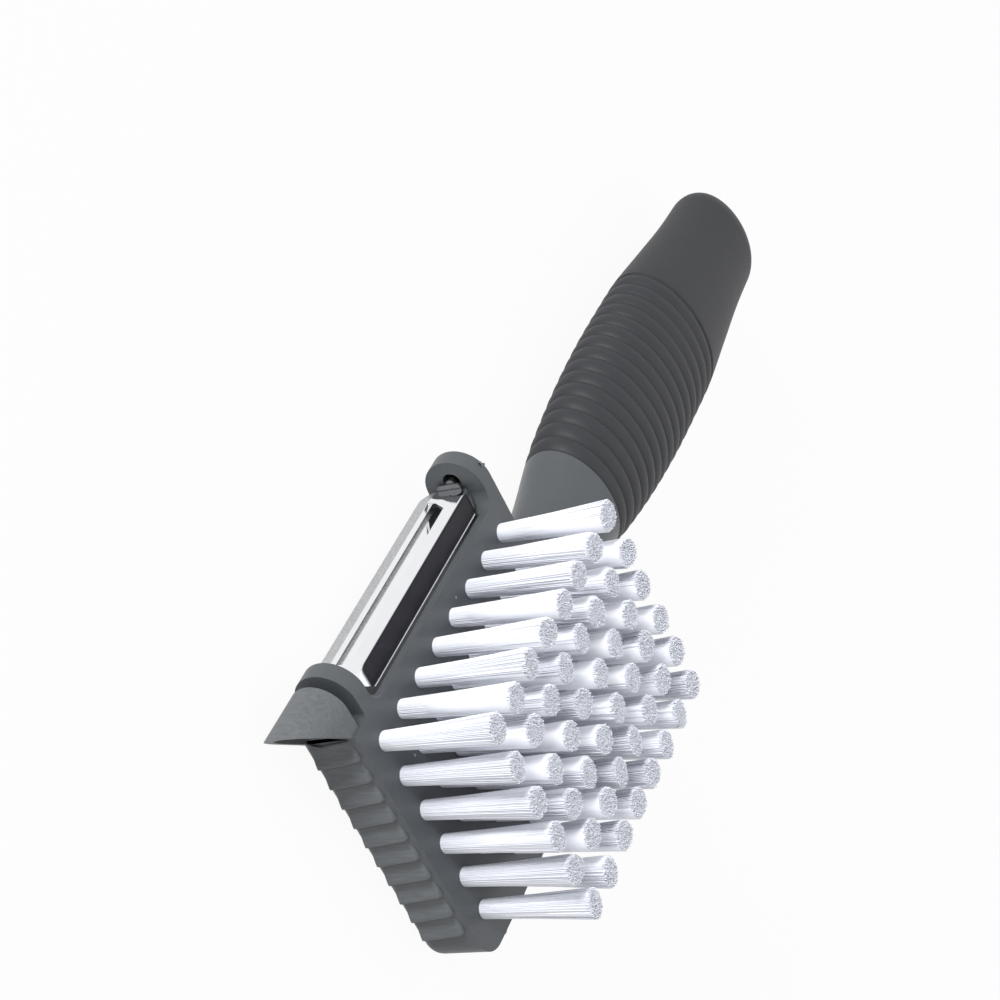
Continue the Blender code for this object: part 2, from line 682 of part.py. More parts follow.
def tuft_mesh(shape_index, finish):
    """A folded root in its hole and the strands that fan out of it, about the hole's mouth."""
    shape = bmesh.new()
    count = STRANDS_PER_TUFT
    turns = [2 * math.pi * (i + shape_index / TUFT_SHAPES) / count for i in range(count)]
    rim = [(TUFT_BASE_RADIUS * math.cos(a), TUFT_BASE_RADIUS * math.sin(a)) for a in turns]
    low = [shape.verts.new((x, y, -TUFT_SEAT_DEPTH)) for x, y in rim]
    high = [shape.verts.new((x, y, 0)) for x, y in rim]
    centre = shape.verts.new((0, 0, 0))
    shape.faces.new(low[::-1])
    wedges = []
    for i in range(count):
        j = (i + 1) % count
        shape.faces.new((low[i], low[j], high[j], high[i]))
        wedges.append(shape.faces.new((centre, high[i], high[j])))
    shape.normal_update()
    bmesh.ops.inset_individual(shape, faces=wedges, thickness=STRAND_GAP / 2, use_even_offset=True)
    flare = TUFT_TIP_RADIUS / TUFT_BASE_RADIUS
    for i, wedge in enumerate(wedges):
        strand = bmesh.ops.extrude_discrete_faces(shape, faces=[wedge])["faces"][0]
        ragged = math.sin((i + 1) * (shape_index + 2) * math.e)
        height = TUFT_LENGTH + TUFT_TIP_RAGGEDNESS * ragged
        for vertex in strand.verts:
            vertex.co = Vector((vertex.co.x * flare, vertex.co.y * flare, height))
    bmesh.ops.recalc_face_normals(shape, faces=shape.faces)
    mesh = bpy.data.meshes.new(f"tuft_shape_{shape_index + 1}")
    shape.to_mesh(mesh)
    shape.free()
    mesh.materials.append(finish)
    return mesh


def build_tufts(finish):
    meshes = [tuft_mesh(i, finish) for i in range(TUFT_SHAPES)]
    for row, column, x, y in tuft_places():
        mesh = meshes[(row * 3 + column) % TUFT_SHAPES]
        tuft = bpy.data.objects.new(f"tuft_{row}_{column}", mesh)
        tuft.location = (x, y, HEAD_HEIGHT)
        bpy.context.scene.collection.objects.link(tuft)


def main():
    clear_scene()
    hard_grey = material("hard grey plastic", (0.085, 0.09, 0.094), 0.45)
    soft_grey = material("soft grey grip", (0.068, 0.072, 0.075), 0.62)
    steel = material("polished steel", (0.62, 0.63, 0.65), 0.18, metallic=1.0)
    nylon = material("white nylon", (0.84, 0.85, 0.9), 0.38)
    build_head_block(hard_grey)
    build_handle_core(hard_grey)
    build_handle_grip(soft_grey)
    build_peeler_blade(steel)
    build_tufts(nylon)


main()
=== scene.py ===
"""Kitchen brush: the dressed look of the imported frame, laid out as a Blender add-on.

Metres, in the frame's own axes: +X along the handle, +Y to the peeler blade, +Z the way the bristles stand.
"""

import math

import bmesh
import bpy
from bpy.props import FloatProperty, FloatVectorProperty, IntProperty, PointerProperty
from mathutils import Matrix, Vector


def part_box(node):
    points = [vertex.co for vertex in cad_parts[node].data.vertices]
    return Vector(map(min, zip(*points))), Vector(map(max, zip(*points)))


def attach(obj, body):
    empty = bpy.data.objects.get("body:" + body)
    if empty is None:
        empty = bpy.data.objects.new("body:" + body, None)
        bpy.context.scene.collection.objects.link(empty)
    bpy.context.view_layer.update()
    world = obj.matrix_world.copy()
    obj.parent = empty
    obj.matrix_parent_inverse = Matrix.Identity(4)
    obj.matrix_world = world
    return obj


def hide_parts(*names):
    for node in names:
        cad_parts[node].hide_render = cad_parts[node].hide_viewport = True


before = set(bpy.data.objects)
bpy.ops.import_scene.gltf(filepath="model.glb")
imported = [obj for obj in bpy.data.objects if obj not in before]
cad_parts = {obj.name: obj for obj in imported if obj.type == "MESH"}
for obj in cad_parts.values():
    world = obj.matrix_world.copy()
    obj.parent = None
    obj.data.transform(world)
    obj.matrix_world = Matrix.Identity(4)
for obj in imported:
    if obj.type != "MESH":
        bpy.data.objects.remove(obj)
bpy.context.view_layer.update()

bl_info = {
    "name": "Kitchen Brush",
    "version": (1, 0, 0),
    "blender": (4, 5, 0),
    "location": "View3D > Sidebar > Kitchen Brush",
    "description": "Builds the bristles, head, blade, handle and stage of a kitchen brush",
    "category": "Object",
}

# How far a cutter reaches past what it cuts
BEYOND = 0.002

# Places and sizes of the pieces, as the frame has them
TUFT_COLUMNS = 8
TUFT_ROWS = 6
HEAD_HEIGHT = 0.0125
HEAD_LENGTH = 0.06715
HEAD_WIDTH = 0.0534
FRONT_X = -HEAD_LENGTH / 2
REAR_X = HEAD_LENGTH / 2
BLADE_WALL_Y = HEAD_WIDTH / 2
FAR_Y = -HEAD_WIDTH / 2
MIDDLE_Z = HEAD_HEIGHT / 2
HEAD_CORNER_RADIUS = 0.005
HEAD_EDGE_SEGMENTS = 4
BACK_EDGE_RADIUS = 0.003
ARM_TIP_Y = BLADE_WALL_Y + 0.0102
ARM_ROUND_RADIUS = 0.006
ARM_MIDDLE_Z = HEAD_HEIGHT - ARM_ROUND_RADIUS
ARM_FILLET_RADIUS = 0.003
FRONT_ARM_OUTER_X = FRONT_X + 0.0048
FRONT_ARM_INNER_X = FRONT_ARM_OUTER_X + 0.00355
REAR_ARM_INNER_X = REAR_X - 0.0035
GROOVE_FLOOR = 0.0004
GOUGE_BACK_THICKNESS = 0.00245
GOUGE_BACK_X = FRONT_X + GOUGE_BACK_THICKNESS
GOUGE_TIP_X = GOUGE_BACK_X - 0.0128
GOUGE_CREST = 0.01
GOUGE_WALL = 0.0013
GOUGE_MOUTH_TWIST = 0.0006
GOUGE_RADIUS = ARM_ROUND_RADIUS - 0.00045
GOUGE_CENTRE_Y = BLADE_WALL_Y + GOUGE_CREST - GOUGE_RADIUS
GOUGE_ROOT = 0.0011
GOUGE_POCKET_DEPTH = 0.0004
GOUGE_POCKET_DIP = 0.0011
GOUGE_POCKET_EDGE = 0.0002
GOUGE_EDGE_RADIUS = 0.00035
RIB_GAP = 0.00035
RIB_LOW = 0.0015
RIB_HIGH = 0.0113
RIB_END_RADIUS = 0.0008
RIB_END_SINK = 0.0008
RIB_LEAN = 0.115
RIB_LEVELS = 21
HIDDEN_RIB_HIGH = 0.0122
HIDDEN_RIB_END_RADIUS = 0.0004
FIRST_FRONT_STEP = 0.00495
FIRST_SIDE_STEP = 0.0072
FIRST_REAR_STEP = 0.0052
ARM_RIB_LIMIT_Y = ARM_TIP_Y - 0.0036
PIVOT_Y = BLADE_WALL_Y + 0.0058
PIVOT_Z = MIDDLE_Z + 0.00025
PIVOT_HOLE_RADIUS = 0.0018
PIVOT_HOLE_DEPTH = 0.0023
SWING_RECESS_DEPTH = 0.0013
BLADE_START_X = FRONT_ARM_INNER_X + 0.0004
BLADE_END_X = REAR_ARM_INNER_X - 0.0004
BLADE_WIDTH = 0.0101
BLADE_DROP = 0.00065
BLADE_HIGH_Z = PIVOT_Z + BLADE_WIDTH / 2 - BLADE_DROP
BLADE_DEPTH = 0.0048
BLADE_BEND_RADIUS = 0.0005
BLADE_FACE_OFFSET = -0.00025
BLADE_FACE_Y = PIVOT_Y + BLADE_FACE_OFFSET
BLADE_END_LENGTH = 0.0045
BLADE_END_NARROWING = 0.0016
BLADE_END_DIP = 0.0007
BLADE_END_GAP = 0.0001
BLADE_END_STEPS = 12
BLADE_EDGE_RADIUS = 0.0001
FLANGE_SETBACK = 0.0038
GUIDE_REACH = 0.0036
SLOT_SETBACK = 0.0045
SLOT_SLANT = 0.0028
SLOT_OFFSET = 0.0006
SLOT_EDGE_SLOPE = 0.6
TAB_WIDTH = 0.0052
TAB_DEPTH = 0.0017
TAB_RISE = 0.0002
TAB_CORNER = 0.0009
PIN_RADIUS = 0.0009
PIN_REACH = 0.0023
HANDLE_Y = 0.0025
HANDLE_Z = MIDDLE_Z - 0.00075
HANDLE_LENGTH = 0.13
HANDLE_HALF_WIDTH = 0.01725
HANDLE_HALF_THICKNESS = 0.01075
HANDLE_END_RADIUS = 0.008
HANDLE_SIDES = 64
RING_ROUNDNESS = 0.55
RING_MARGIN = 0.01
HANDLE_SAMPLES = 40
NECK_ROWS = 40
TANG_ROWS = 8
GRIP_ROWS = 318
NECK_LENGTH = 0.0289
SEAM_GAP = 0.0003
TANG_INSET = 0.002
TANG_REACH = 0.004
SHARP_ANGLE = 32
HANDLE_SHARP_ANGLE = 55
HEAD_EDGE_ANGLE = 50

# Places of the steel's zones and scales of the small patterns
GROUND_STRIP_GAP = 0.0006
RIM_HEIGHT = 0.0003
RIM_DEPTH = 0.00018
# Painted shade: how far from each end, in sheet thicknesses, the steel is painted dark as if in shadow
PAINTED_SHADE_END_WALLS = 1.4
ZONE_SOFTNESS = 0.00015
MOULDED_BUMP_DISTANCE = 0.0002
STEEL_BUMP_DISTANCE = 0.0001
MOTTLE_SCALE = 90.0
SPECK_SCALE = 260.0
SPECK_SIZE = 0.075
SPECK_FROM = 0.86
GROUND_GRAIN_SCALE = 2600.0
STEEL_CLOUD_SCALE = 140.0
RUBBED_LINES_SCALE = 2200.0
NYLON_LINES_SCALE = 2500.0
SPECK_COLOUR = (0.42, 0.43, 0.44, 1.0)
WHITE = (1.0, 1.0, 1.0, 1.0)

# Filaments: the turn from one to the next, their bend, and how far a tuft and one filament lean
FILAMENT_TURN = 2.39996
FILAMENT_BEND = 1.25
FILAMENT_SIDES = 3
FILAMENT_POINTS = 3
FULL_TURN = 6.28
SEED_STEP = 20
FLARE_RANGE = (0.88, 1.12)
TIP_SLOPE = 0.5
TUFT_LEAN = 0.0005
STRAY_LEAN = 0.00008
FILAMENT_ROOT = 0.0006
TUFT_CORE_SIDES = 12
TUFT_CORE_SHARE = 0.98
TUFT_CORE_HEIGHT_SHARE = 0.985

# The photograph's view, with a focal length of 2544 pixels for a frame of 1000
CAMERA_PLACE = (-0.2983, 0.2450, 0.2587)
CAMERA_RIGHT = (0.351, -0.414, 0.840)
CAMERA_BACK = (-0.708, 0.470, 0.527)
CAMERA_LENS = 91.58
CAMERA_SENSOR = 36.0

# The stage: a lamp is its place, its aim and its size
KEY_LAMP = ((-0.33, 1.02, 0.25), (0.0, 0.0, 0.01), 0.35)
FILL_LAMP = ((0.3, -0.2, 1.0), (0.02, 0.0, 0.01), 0.5)
FLOOR_HALF = 3.0
FLOOR_GAP = 0.0003
FLOOR_WHITE_SHARE = 0.94

# Outline of the handle: share of its length, of its half width and of its half thickness
HANDLE_OUTLINE_SHARES = (
    (0.0, 0.568, 0.545), (0.076, 0.573, 0.618), (0.152, 0.622, 0.782),
    (0.227, 0.768, 0.891), (0.265, 0.838, 0.927), (0.379, 0.951, 0.982),
    (0.492, 1.0, 1.0), (0.606, 0.989, 1.0), (0.659, 0.973, 0.991),
    (0.758, 0.881, 0.927), (0.871, 0.784, 0.845), (1.0, 0.735, 0.8),
)
# Section of one rib along its edge: share of its run and share of its rise
RIB_SECTION_SHARES = (
    (0.03, -0.9), (0.02, 0.0), (0.005, 0.45), (0.0, 0.75),
    (0.015, 0.92), (0.05, 1.0), (0.11, 0.99), (0.18, 0.91),
    (0.26, 0.78), (0.35, 0.61), (0.45, 0.42), (0.57, 0.22),
    (0.7, 0.08), (0.84, 0.02), (0.97, -0.05), (1.0, -0.9),
)


# Settings


def size(name, description, default, unit="LENGTH"):
    return FloatProperty(name=name, description=description, default=default, unit=unit)


def tint(name, description, default):
    return FloatVectorProperty(
        name=name, description=description, default=default, subtype="COLOR", size=3, min=0.0, max=1.0
    )


class HeadSettings(bpy.types.PropertyGroup):
    edge_radius: size("Edge Radius", "Rounding of the head's edges", 0.001)
    rib_pitch: size("Rib Pitch", "From one rib to the next", 0.00456)
    rib_rise: size("Rib Rise", "How far a rib stands out", 0.0009)
    colour: tint("Plastic Colour", "Colour of the hard plastic", (0.079, 0.086, 0.093))
    # Partly painted light: the gouge and ribs are the plate's plastic, painted lighter as if lit more; on
    # the ribs it is partly real rubbing
    rubbed_and_lit_colour: tint("Rubbed and Lit Colour", "Colour of the same plastic, rubbed dull", (0.112, 0.12, 0.127))


class BristleSettings(bpy.types.PropertyGroup):
    filaments: IntProperty(
        name="Filaments per Tuft", description="Filaments in one tuft", default=850, min=10, max=1000
    )
    filament_radius: size("Filament Radius", "Half the thickness of a filament", 0.00011)
    base_radius: size("Base Radius", "Radius of a tuft at its hole", 0.00166)
    tip_radius: size("Tip Radius", "Radius of a tuft at its tips", 0.00265)
    length: size("Bristle Length", "From the head to the tips", 0.0226)
    raggedness: size("Raggedness", "How unevenly the tips are cut", 0.0003)
    seed: IntProperty(name="Seed", description="Seed of the filaments' small differences", default=7)
    colour: tint("Nylon Colour", "Colour of the filaments", (0.88, 0.9, 0.965))


class BladeSettings(bpy.types.PropertyGroup):
    wall: size("Sheet Thickness", "Thickness of the steel", 0.0007)
    slot_width: size("Slot Width", "Width of the peeling slot", 0.004)
    colour: tint("Steel Colour", "Colour of the steel", (0.86, 0.87, 0.89))
    # Painted shade: the dark colour painted on the flange as a painted reflection of the head's wall, and at
    # the blade's ends as painted shadow
    painted_shade_colour: tint("Painted Shade Colour", "Colour of the steel's dark side", (0.03, 0.029, 0.034))


class HandleSettings(bpy.types.PropertyGroup):
    ring_count: IntProperty(name="Rings", description="Rings cast round the grip", default=15, min=0)
    ring_pitch: size("Ring Pitch", "From one ring to the next", 0.00382)
    ring_depth: size("Ring Depth", "Depth of the groove between rings", 0.0007)
    grip_colour: tint("Grip Colour", "Colour of the soft grip", (0.029, 0.03, 0.034))


class StageSettings(bpy.types.PropertyGroup):
    key_power: size("Key Light", "Power of the large soft lamp", 10.0, "POWER")
    fill_power: size("Fill Light", "Power of the weak lamp overhead", 1.0, "POWER")
    sky_level: size("Sky Level", "Strength of the plain white sky", 0.75, "NONE")
    floor_colour: tint("Floor Colour", "Colour of the floor", (0.7, 0.7, 0.7))


# Node helpers

OUTPUT_KINDS = {"Geometry": "NodeSocketGeometry", "Base Color": "NodeSocketColor"}


class Output:
    """An output of a node. Sums with it add Math nodes, and [name] is another output of its node."""

    def __init__(self, socket):
        self.socket = socket

    def __getitem__(self, name):
        return Output(self.socket.node.outputs[name])

    def __add__(self, other):
        return calc("ADD", self, other)

    def __sub__(self, other):
        return calc("SUBTRACT", self, other)

    def __rsub__(self, other):
        return calc("SUBTRACT", other, self)

    def __mul__(self, other):
        return calc("MULTIPLY", self, other)

    def __truediv__(self, other):
        return calc("DIVIDE", self, other)


def feed(socket, value):
    """Link an output to an input socket, or set the input to a plain value."""
    if isinstance(value, Output):
        socket.id_data.links.new(value.socket, socket)
    else:
        socket.default_value = value


def add_node(tree, kind, sources=None, **settings):
    """The first output of a new node, with its settings made and its inputs linked or set."""
    node = tree.nodes.new(kind)
    for key, value in settings.items():
        setattr(node, key, value)
    for key, value in (sources or {}).items():
        feed(node.inputs[key], value)
    return Output(node.outputs[0])


def calc(operation, *values):
    """A Math node on outputs and plain numbers, of which at least one is an output."""
    tree = next(value.socket.id_data for value in values if isinstance(value, Output))
    return add_node(tree, "ShaderNodeMath", dict(enumerate(values)), operation=operation)


def split(tree, vector):
    """The X, Y and Z of a vector."""
    parts = add_node(tree, "ShaderNodeSeparateXYZ", {0: vector})
    return parts[0], parts[1], parts[2]


def combine(tree, x, y, z):
    return add_node(tree, "ShaderNodeCombineXYZ", {"X": x, "Y": y, "Z": z})


def scaled(tree, vector, factor):
    return add_node(tree, "ShaderNodeVectorMath", {0: vector, "Scale": factor}, operation="SCALE")


def mixed(tree, share, first, second):
    """A mix of two colours, with this share of the second."""
    return add_node(tree, "ShaderNodeMix", {0: share, 6: first, 7: second}, data_type="RGBA")[2]


def noise(tree, place, scale, detail):
    return add_node(tree, "ShaderNodeTexNoise", {"Vector": place, "Scale": scale, "Detail": detail})


def float_curve(tree, value, points):
    """A Float Curve through straight steps between these points."""
    result = add_node(tree, "ShaderNodeFloatCurve", {"Value": value})
    mapping = result.socket.node.mapping
    mapping.use_clip = False
    curve = mapping.curves[0]
    while len(curve.points) < len(points):
        curve.points.new(0.5, 0.5)
    for point, (at, level) in zip(curve.points, points):
        point.location = (at, level)
        point.handle_type = "VECTOR"
    mapping.update()
    return result


def input_kind(value):
    """The kind of input that takes this value."""
    if isinstance(value, bpy.types.Material):
        return "NodeSocketMaterial"
    if isinstance(value, tuple):
        return "NodeSocketColor" if len(value) == 4 else "NodeSocketVector"
    return "NodeSocketInt" if isinstance(value, int) else "NodeSocketFloat"


def make_group(name, kind, inputs, outputs, build):
    """A node group, made at its first use, whose values are its defaults. build gives its outputs."""
    if name in bpy.data.node_groups:
        return bpy.data.node_groups[name]
    tree = bpy.data.node_groups.new(name, kind)
    for label, value in inputs.items():
        socket = tree.interface.new_socket(name=label, in_out="INPUT", socket_type=input_kind(value))
        socket.default_value = value
    for label in outputs:
        socket_type = OUTPUT_KINDS.get(label, "NodeSocketFloat")
        tree.interface.new_socket(name=label, in_out="OUTPUT", socket_type=socket_type)
    source = Output(tree.nodes.new("NodeGroupInput").outputs[0])
    target = tree.nodes.new("NodeGroupOutput")
    for label, result in zip(outputs, build(tree, source)):
        feed(target.inputs[label], result)
    return tree


def use_group(tree, name, inputs, outputs, build):
    """A group of shader nodes, placed in a tree with its own values and the object's coordinates."""
    inputs = {"Place": (0.0, 0.0, 0.0), **inputs}
    group = make_group(name, "ShaderNodeTree", inputs, outputs, build)
    place = add_node(tree, "ShaderNodeTexCoord")["Object"]
    return add_node(tree, "ShaderNodeGroup", {**inputs, "Place": place}, node_tree=group)


def own_coordinates(tree):
    """Each point's own X, Y and Z, in a geometry tree."""
    return split(tree, add_node(tree, "GeometryNodeInputPosition"))


def moved(tree, geometry, x, y, z):
    sources = {"Geometry": geometry, "Position": combine(tree, x, y, z)}
    return add_node(tree, "GeometryNodeSetPosition", sources)


def lined_up(tree, count, step_x, step_y):
    """Points in a straight row from the origin."""
    sources = {"Count": count, "Offset": combine(tree, step_x, step_y, 0.0)}
    return add_node(tree, "GeometryNodeMeshLine", sources)


def copies(tree, points, piece):
    return add_node(tree, "GeometryNodeInstanceOnPoints", {"Points": points, "Instance": piece})


def unit_line(tree, end, count):
    """A straight curve from the origin, with so many points."""
    line = add_node(tree, "GeometryNodeCurvePrimitiveLine", {"End": end})
    return add_node(tree, "GeometryNodeResampleCurve", {"Curve": line, "Count": count})


def tube(tree, curve, sides, radius):
    """A closed tube along a curve."""
    section = add_node(tree, "GeometryNodeCurvePrimitiveCircle", {"Resolution": sides, "Radius": radius})
    sources = {"Curve": curve, "Profile Curve": section, "Fill Caps": True}
    return add_node(tree, "GeometryNodeCurveToMesh", sources)


def run_tree(name, tree_name, build, sizes, finish):
    """A plain mesh object with what this geometry tree makes: build's pieces, realised and finished."""

    def build_finished(tree, value):
        solid = add_node(tree, "GeometryNodeRealizeInstances", {"Geometry": build(tree, value)})
        sources = {"Geometry": solid, "Material": value["Finish"]}
        return [add_node(tree, "GeometryNodeSetMaterial", sources)]

    inputs = {**sizes, "Finish": finish}
    tree = make_group(tree_name, "GeometryNodeTree", inputs, ["Geometry"], build_finished)
    holder = link_object(name, bpy.data.meshes.new(name))
    modifier = holder.modifiers.new(tree_name, "NODES")
    modifier.node_group = tree
    for socket in tree.interface.items_tree:
        if socket.in_out == "INPUT":
            modifier[socket.identifier] = inputs[socket.name]
    return baked(holder, finish)


def link_object(name, data):
    obj = bpy.data.objects.new(name, data)
    bpy.context.scene.collection.objects.link(obj)
    return obj


def baked(obj, finish):
    """Apply an object's modifiers by swapping its mesh for the evaluated one."""
    bpy.context.view_layer.update()
    graph = bpy.context.evaluated_depsgraph_get()
    mesh = bpy.data.meshes.new_from_object(obj.evaluated_get(graph), depsgraph=graph)
    obj.modifiers.clear()
    obj.data = mesh
    mesh.name = obj.name
    mesh.materials.clear()
    mesh.materials.append(finish)
    return obj


# Finishes


def moulded_nodes(tree, value):
    """Fine mottling, grain and specks of a moulded plastic surface."""
    place = value["Place"]
    broad = noise(tree, place, MOTTLE_SCALE, 4.0)
    grain = noise(tree, place, value["Grain Scale"], 2.0)
    level = (broad - 0.5) * value["Mottle"] + 1.0 + (grain - 0.5) * 0.12
    dots = add_node(tree, "ShaderNodeTexVoronoi", {"Vector": place, "Scale": SPECK_SCALE})
    near = calc("LESS_THAN", dots["Distance"], SPECK_SIZE)
    few = calc("GREATER_THAN", split(tree, dots["Color"])[0], SPECK_FROM)
    speck = near * few * value["Specks"]
    colour = mixed(tree, speck, scaled(tree, value["Colour"], level), SPECK_COLOUR)
    return colour, (grain - 0.5) * 0.18 + value["Gloss"], grain


def drawn_lines(tree, across, scale):
    """Fine parallel lines along one axis, as on rubbed plastic and nylon."""

    def build(group, value):
        sources = {0: value["Place"], 1: value["Across"]}
        squeezed = add_node(group, "ShaderNodeVectorMath", sources, operation="MULTIPLY")
        return [noise(group, squeezed, value["Scale"], 3.0)]

    return use_group(tree, "drawn lines", {"Across": across, "Scale": scale}, ["Lines"], build)


def steel_nodes(tree, value):
    """Polished steel with a dull ground strip below its slot, painted shade on the flange above its face as
    a painted dark reflection with a painted highlight line along its free edge, and painted shade at both
    ends.
    """
    x, y, z = split(tree, value["Place"])

    def step(place, edge):
        return calc("MAXIMUM", calc("MINIMUM", (place - edge) / value["Soft Step"], 1.0), 0.0)

    dull = 1.0 - step(z, value["Dull Below"])
    top = step(z, value["Painted Shade Above"])
    inner = step(y, value["Painted Shade Beyond"])
    # Painted highlight: along the flange's free edge the steel is made matte and bright, a painted light
    # line where the edge catches light
    painted_rim_highlight = top * (1.0 - inner)
    off = calc("ABSOLUTE", x - value["Middle"])
    # Painted shade: the flange's inner part is painted dark as a painted reflection, and both ends are
    # painted dark as shadow
    painted_shade = calc("MAXIMUM", top * inner, step(off, value["Painted Shade Ends From"]) * 0.8)
    grain = noise(tree, value["Place"], GROUND_GRAIN_SCALE, 3.0)
    cloud = noise(tree, value["Place"], STEEL_CLOUD_SCALE, 2.0)
    ground = dull * (grain - 0.5) * 0.9 + 1.0
    shade = ground * (dull * -0.42 + 1.0) * ((cloud - 0.5) * 0.1 + 1.0)
    colour = scaled(tree, mixed(tree, painted_shade, value["Bright"], value["Painted Shade"]), shade)
    rough = (painted_shade + painted_rim_highlight) * 0.3 + (dull * 0.38 + (cloud * 0.06 + 0.05))
    return colour, painted_rim_highlight * -0.8 + 1.0, rough, dull * grain


def new_finish(name):
    """A material with only its Principled shader, and that shader."""
    made = bpy.data.materials.new(name)
    made.use_nodes = True
    return made, made.node_tree.nodes["Principled BSDF"]


def raise_surface(shader, height, strength, distance):
    sources = {"Strength": strength, "Distance": distance, "Height": height}
    feed(shader.inputs["Normal"], add_node(shader.id_data, "ShaderNodeBump", sources))


def moulded_finish(name, colour, gloss, mottle, specks, grain_scale=1500.0, bump=0.05, lines=0.0):
    """Hard or soft moulded plastic, with rubbed lines along Z where lines is above 0."""
    made, shader = new_finish(name)
    shader.inputs["Specular IOR Level"].default_value = 0.3
    tree = made.node_tree
    inputs = {
        "Colour": (*colour, 1.0),
        "Mottle": mottle,
        "Grain Scale": grain_scale,
        "Specks": specks,
        "Gloss": gloss,
    }
    outputs = ("Base Color", "Roughness", "Height")
    skin = use_group(tree, "moulded surface", inputs, outputs, moulded_nodes)
    tone, height = skin["Base Color"], skin["Height"]
    if lines > 0:
        drawn = drawn_lines(tree, (1.0, 1.0, 0.12), RUBBED_LINES_SCALE)
        height = drawn * lines + height
        tone = scaled(tree, tone, drawn * 0.7 + 0.65)
    feed(shader.inputs["Base Color"], tone)
    feed(shader.inputs["Roughness"], skin["Roughness"])
    raise_surface(shader, height, bump, MOULDED_BUMP_DISTANCE)
    return made


def steel_finish(name, settings):
    """The blade's steel, bright, dull, or dark with painted shade and a painted reflection, by its place on
    the section.
    """
    made, shader = new_finish(name)
    inputs = {
        "Bright": (*settings.colour, 1.0),
        "Painted Shade": (*settings.painted_shade_colour, 1.0),
        "Dull Below": PIVOT_Z - SLOT_OFFSET - settings.slot_width / 2 - GROUND_STRIP_GAP,
        # Zones of the painted shade and the painted highlight line on the flange, and where the painted
        # shade at the ends begins
        "Painted Shade Above": BLADE_HIGH_Z - RIM_HEIGHT,
        "Painted Shade Beyond": BLADE_FACE_Y - BLADE_DEPTH + RIM_DEPTH,
        "Middle": (BLADE_START_X + BLADE_END_X) / 2,
        "Painted Shade Ends From": (BLADE_END_X - BLADE_START_X) / 2 - settings.wall * PAINTED_SHADE_END_WALLS,
        "Soft Step": ZONE_SOFTNESS,
    }
    outputs = ("Base Color", "Metallic", "Roughness", "Height")
    skin = use_group(made.node_tree, "peeler steel", inputs, outputs, steel_nodes)
    for label in outputs[:3]:
        feed(shader.inputs[label], skin[label])
    raise_surface(shader, skin["Height"], 0.2, STEEL_BUMP_DISTANCE)
    return made


def nylon_finish(name, colour):
    """White filaments, each a little lighter or darker than its neighbour."""
    made, shader = new_finish(name)
    tree = made.node_tree
    lines = drawn_lines(tree, (1.0, 1.0, 0.02), NYLON_LINES_SCALE) - 0.5
    feed(shader.inputs["Base Color"], scaled(tree, tuple(colour), lines * 0.08 + 1.0))
    feed(shader.inputs["Roughness"], lines * 0.2 + 0.42)
    return made


# Mesh helpers


def arc(centre_u, centre_v, radius, first, last, step=7.5):
    """Points of an arc from the first to the last angle in degrees, both ends included."""
    sweep = last - first
    steps = max(2, round(abs(sweep) / step))
    angles = (math.radians(first + sweep * i / steps) for i in range(steps + 1))
    return [(centre_u + radius * math.cos(a), centre_v + radius * math.sin(a)) for a in angles]


def circle(centre_u, centre_v, radius):
    return arc(centre_u, centre_v, radius, 0, 360, 15.0)[:-1]


def add_rings(shape, rings):
    return [[shape.verts.new(point) for point in ring] for ring in rings]


def add_caps(shape, low, high):
    shape.faces.new(low[::-1])
    shape.faces.new(high)


def add_band(shape, low, high):
    """Quads between two closed rings of vertices."""
    for i in range(len(low)):
        j = (i + 1) % len(low)
        shape.faces.new((low[i], low[j], high[j], high[i]))


def along_x(outline, low, high):
    """Both ends of a prism that runs along X."""
    return [[(x, u, v) for u, v in outline] for x in (low, high)]


def along_z(outline, low, high):
    """Both ends of a prism that runs along Z."""
    return [[(u, v, z) for u, v in outline] for z in (low, high)]


def prisms(name, *pairs):
    """An object of closed prisms, each a pair of rings of points."""
    shape = bmesh.new()
    for pair in pairs:
        low, high = add_rings(shape, pair)
        add_caps(shape, low, high)
        add_band(shape, low, high)
    return to_object(name, shape)


def loft(name, rings):
    """A closed object through rings of points, with a flat cap at both ends."""
    shape = bmesh.new()
    rows = add_rings(shape, rings)
    for low, high in zip(rows, rows[1:]):
        add_band(shape, low, high)
    add_caps(shape, rows[0], rows[-1])
    return to_object(name, shape)


def rounded_rectangle(centre_u, centre_v, half_u, half_v, radius):
    points = []
    for turn, (sign_u, sign_v) in enumerate(((1, 1), (-1, 1), (-1, -1), (1, -1))):
        u, v = centre_u + sign_u * (half_u - radius), centre_v + sign_v * (half_v - radius)
        points += arc(u, v, radius, 90 * turn, 90 * turn + 90)
    return points


def to_object(name, shape):
    """Turn a bmesh into an object whose faces point outwards."""
    bmesh.ops.recalc_face_normals(shape, faces=shape.faces)
    mesh = bpy.data.meshes.new(name)
    shape.to_mesh(mesh)
    shape.free()
    return link_object(name, mesh)


def carve(obj, helper, operation="DIFFERENCE"):
    modifier = obj.modifiers.new(helper.name, "BOOLEAN")
    modifier.operation = operation
    modifier.solver = "EXACT"
    modifier.object = helper
    return helper


def round_edges(obj, radius, segments, angle=40):
    modifier = obj.modifiers.new("edge rounding", "BEVEL")
    modifier.width = radius
    modifier.segments = segments
    modifier.limit_method = "ANGLE"
    modifier.angle_limit = math.radians(angle)
    modifier.use_clamp_overlap = True


def smooth_shade(mesh, angle):
    """Shade a mesh smooth up to its corners."""
    mesh.shade_smooth()
    mesh.set_sharp_from_angle(angle=math.radians(angle))


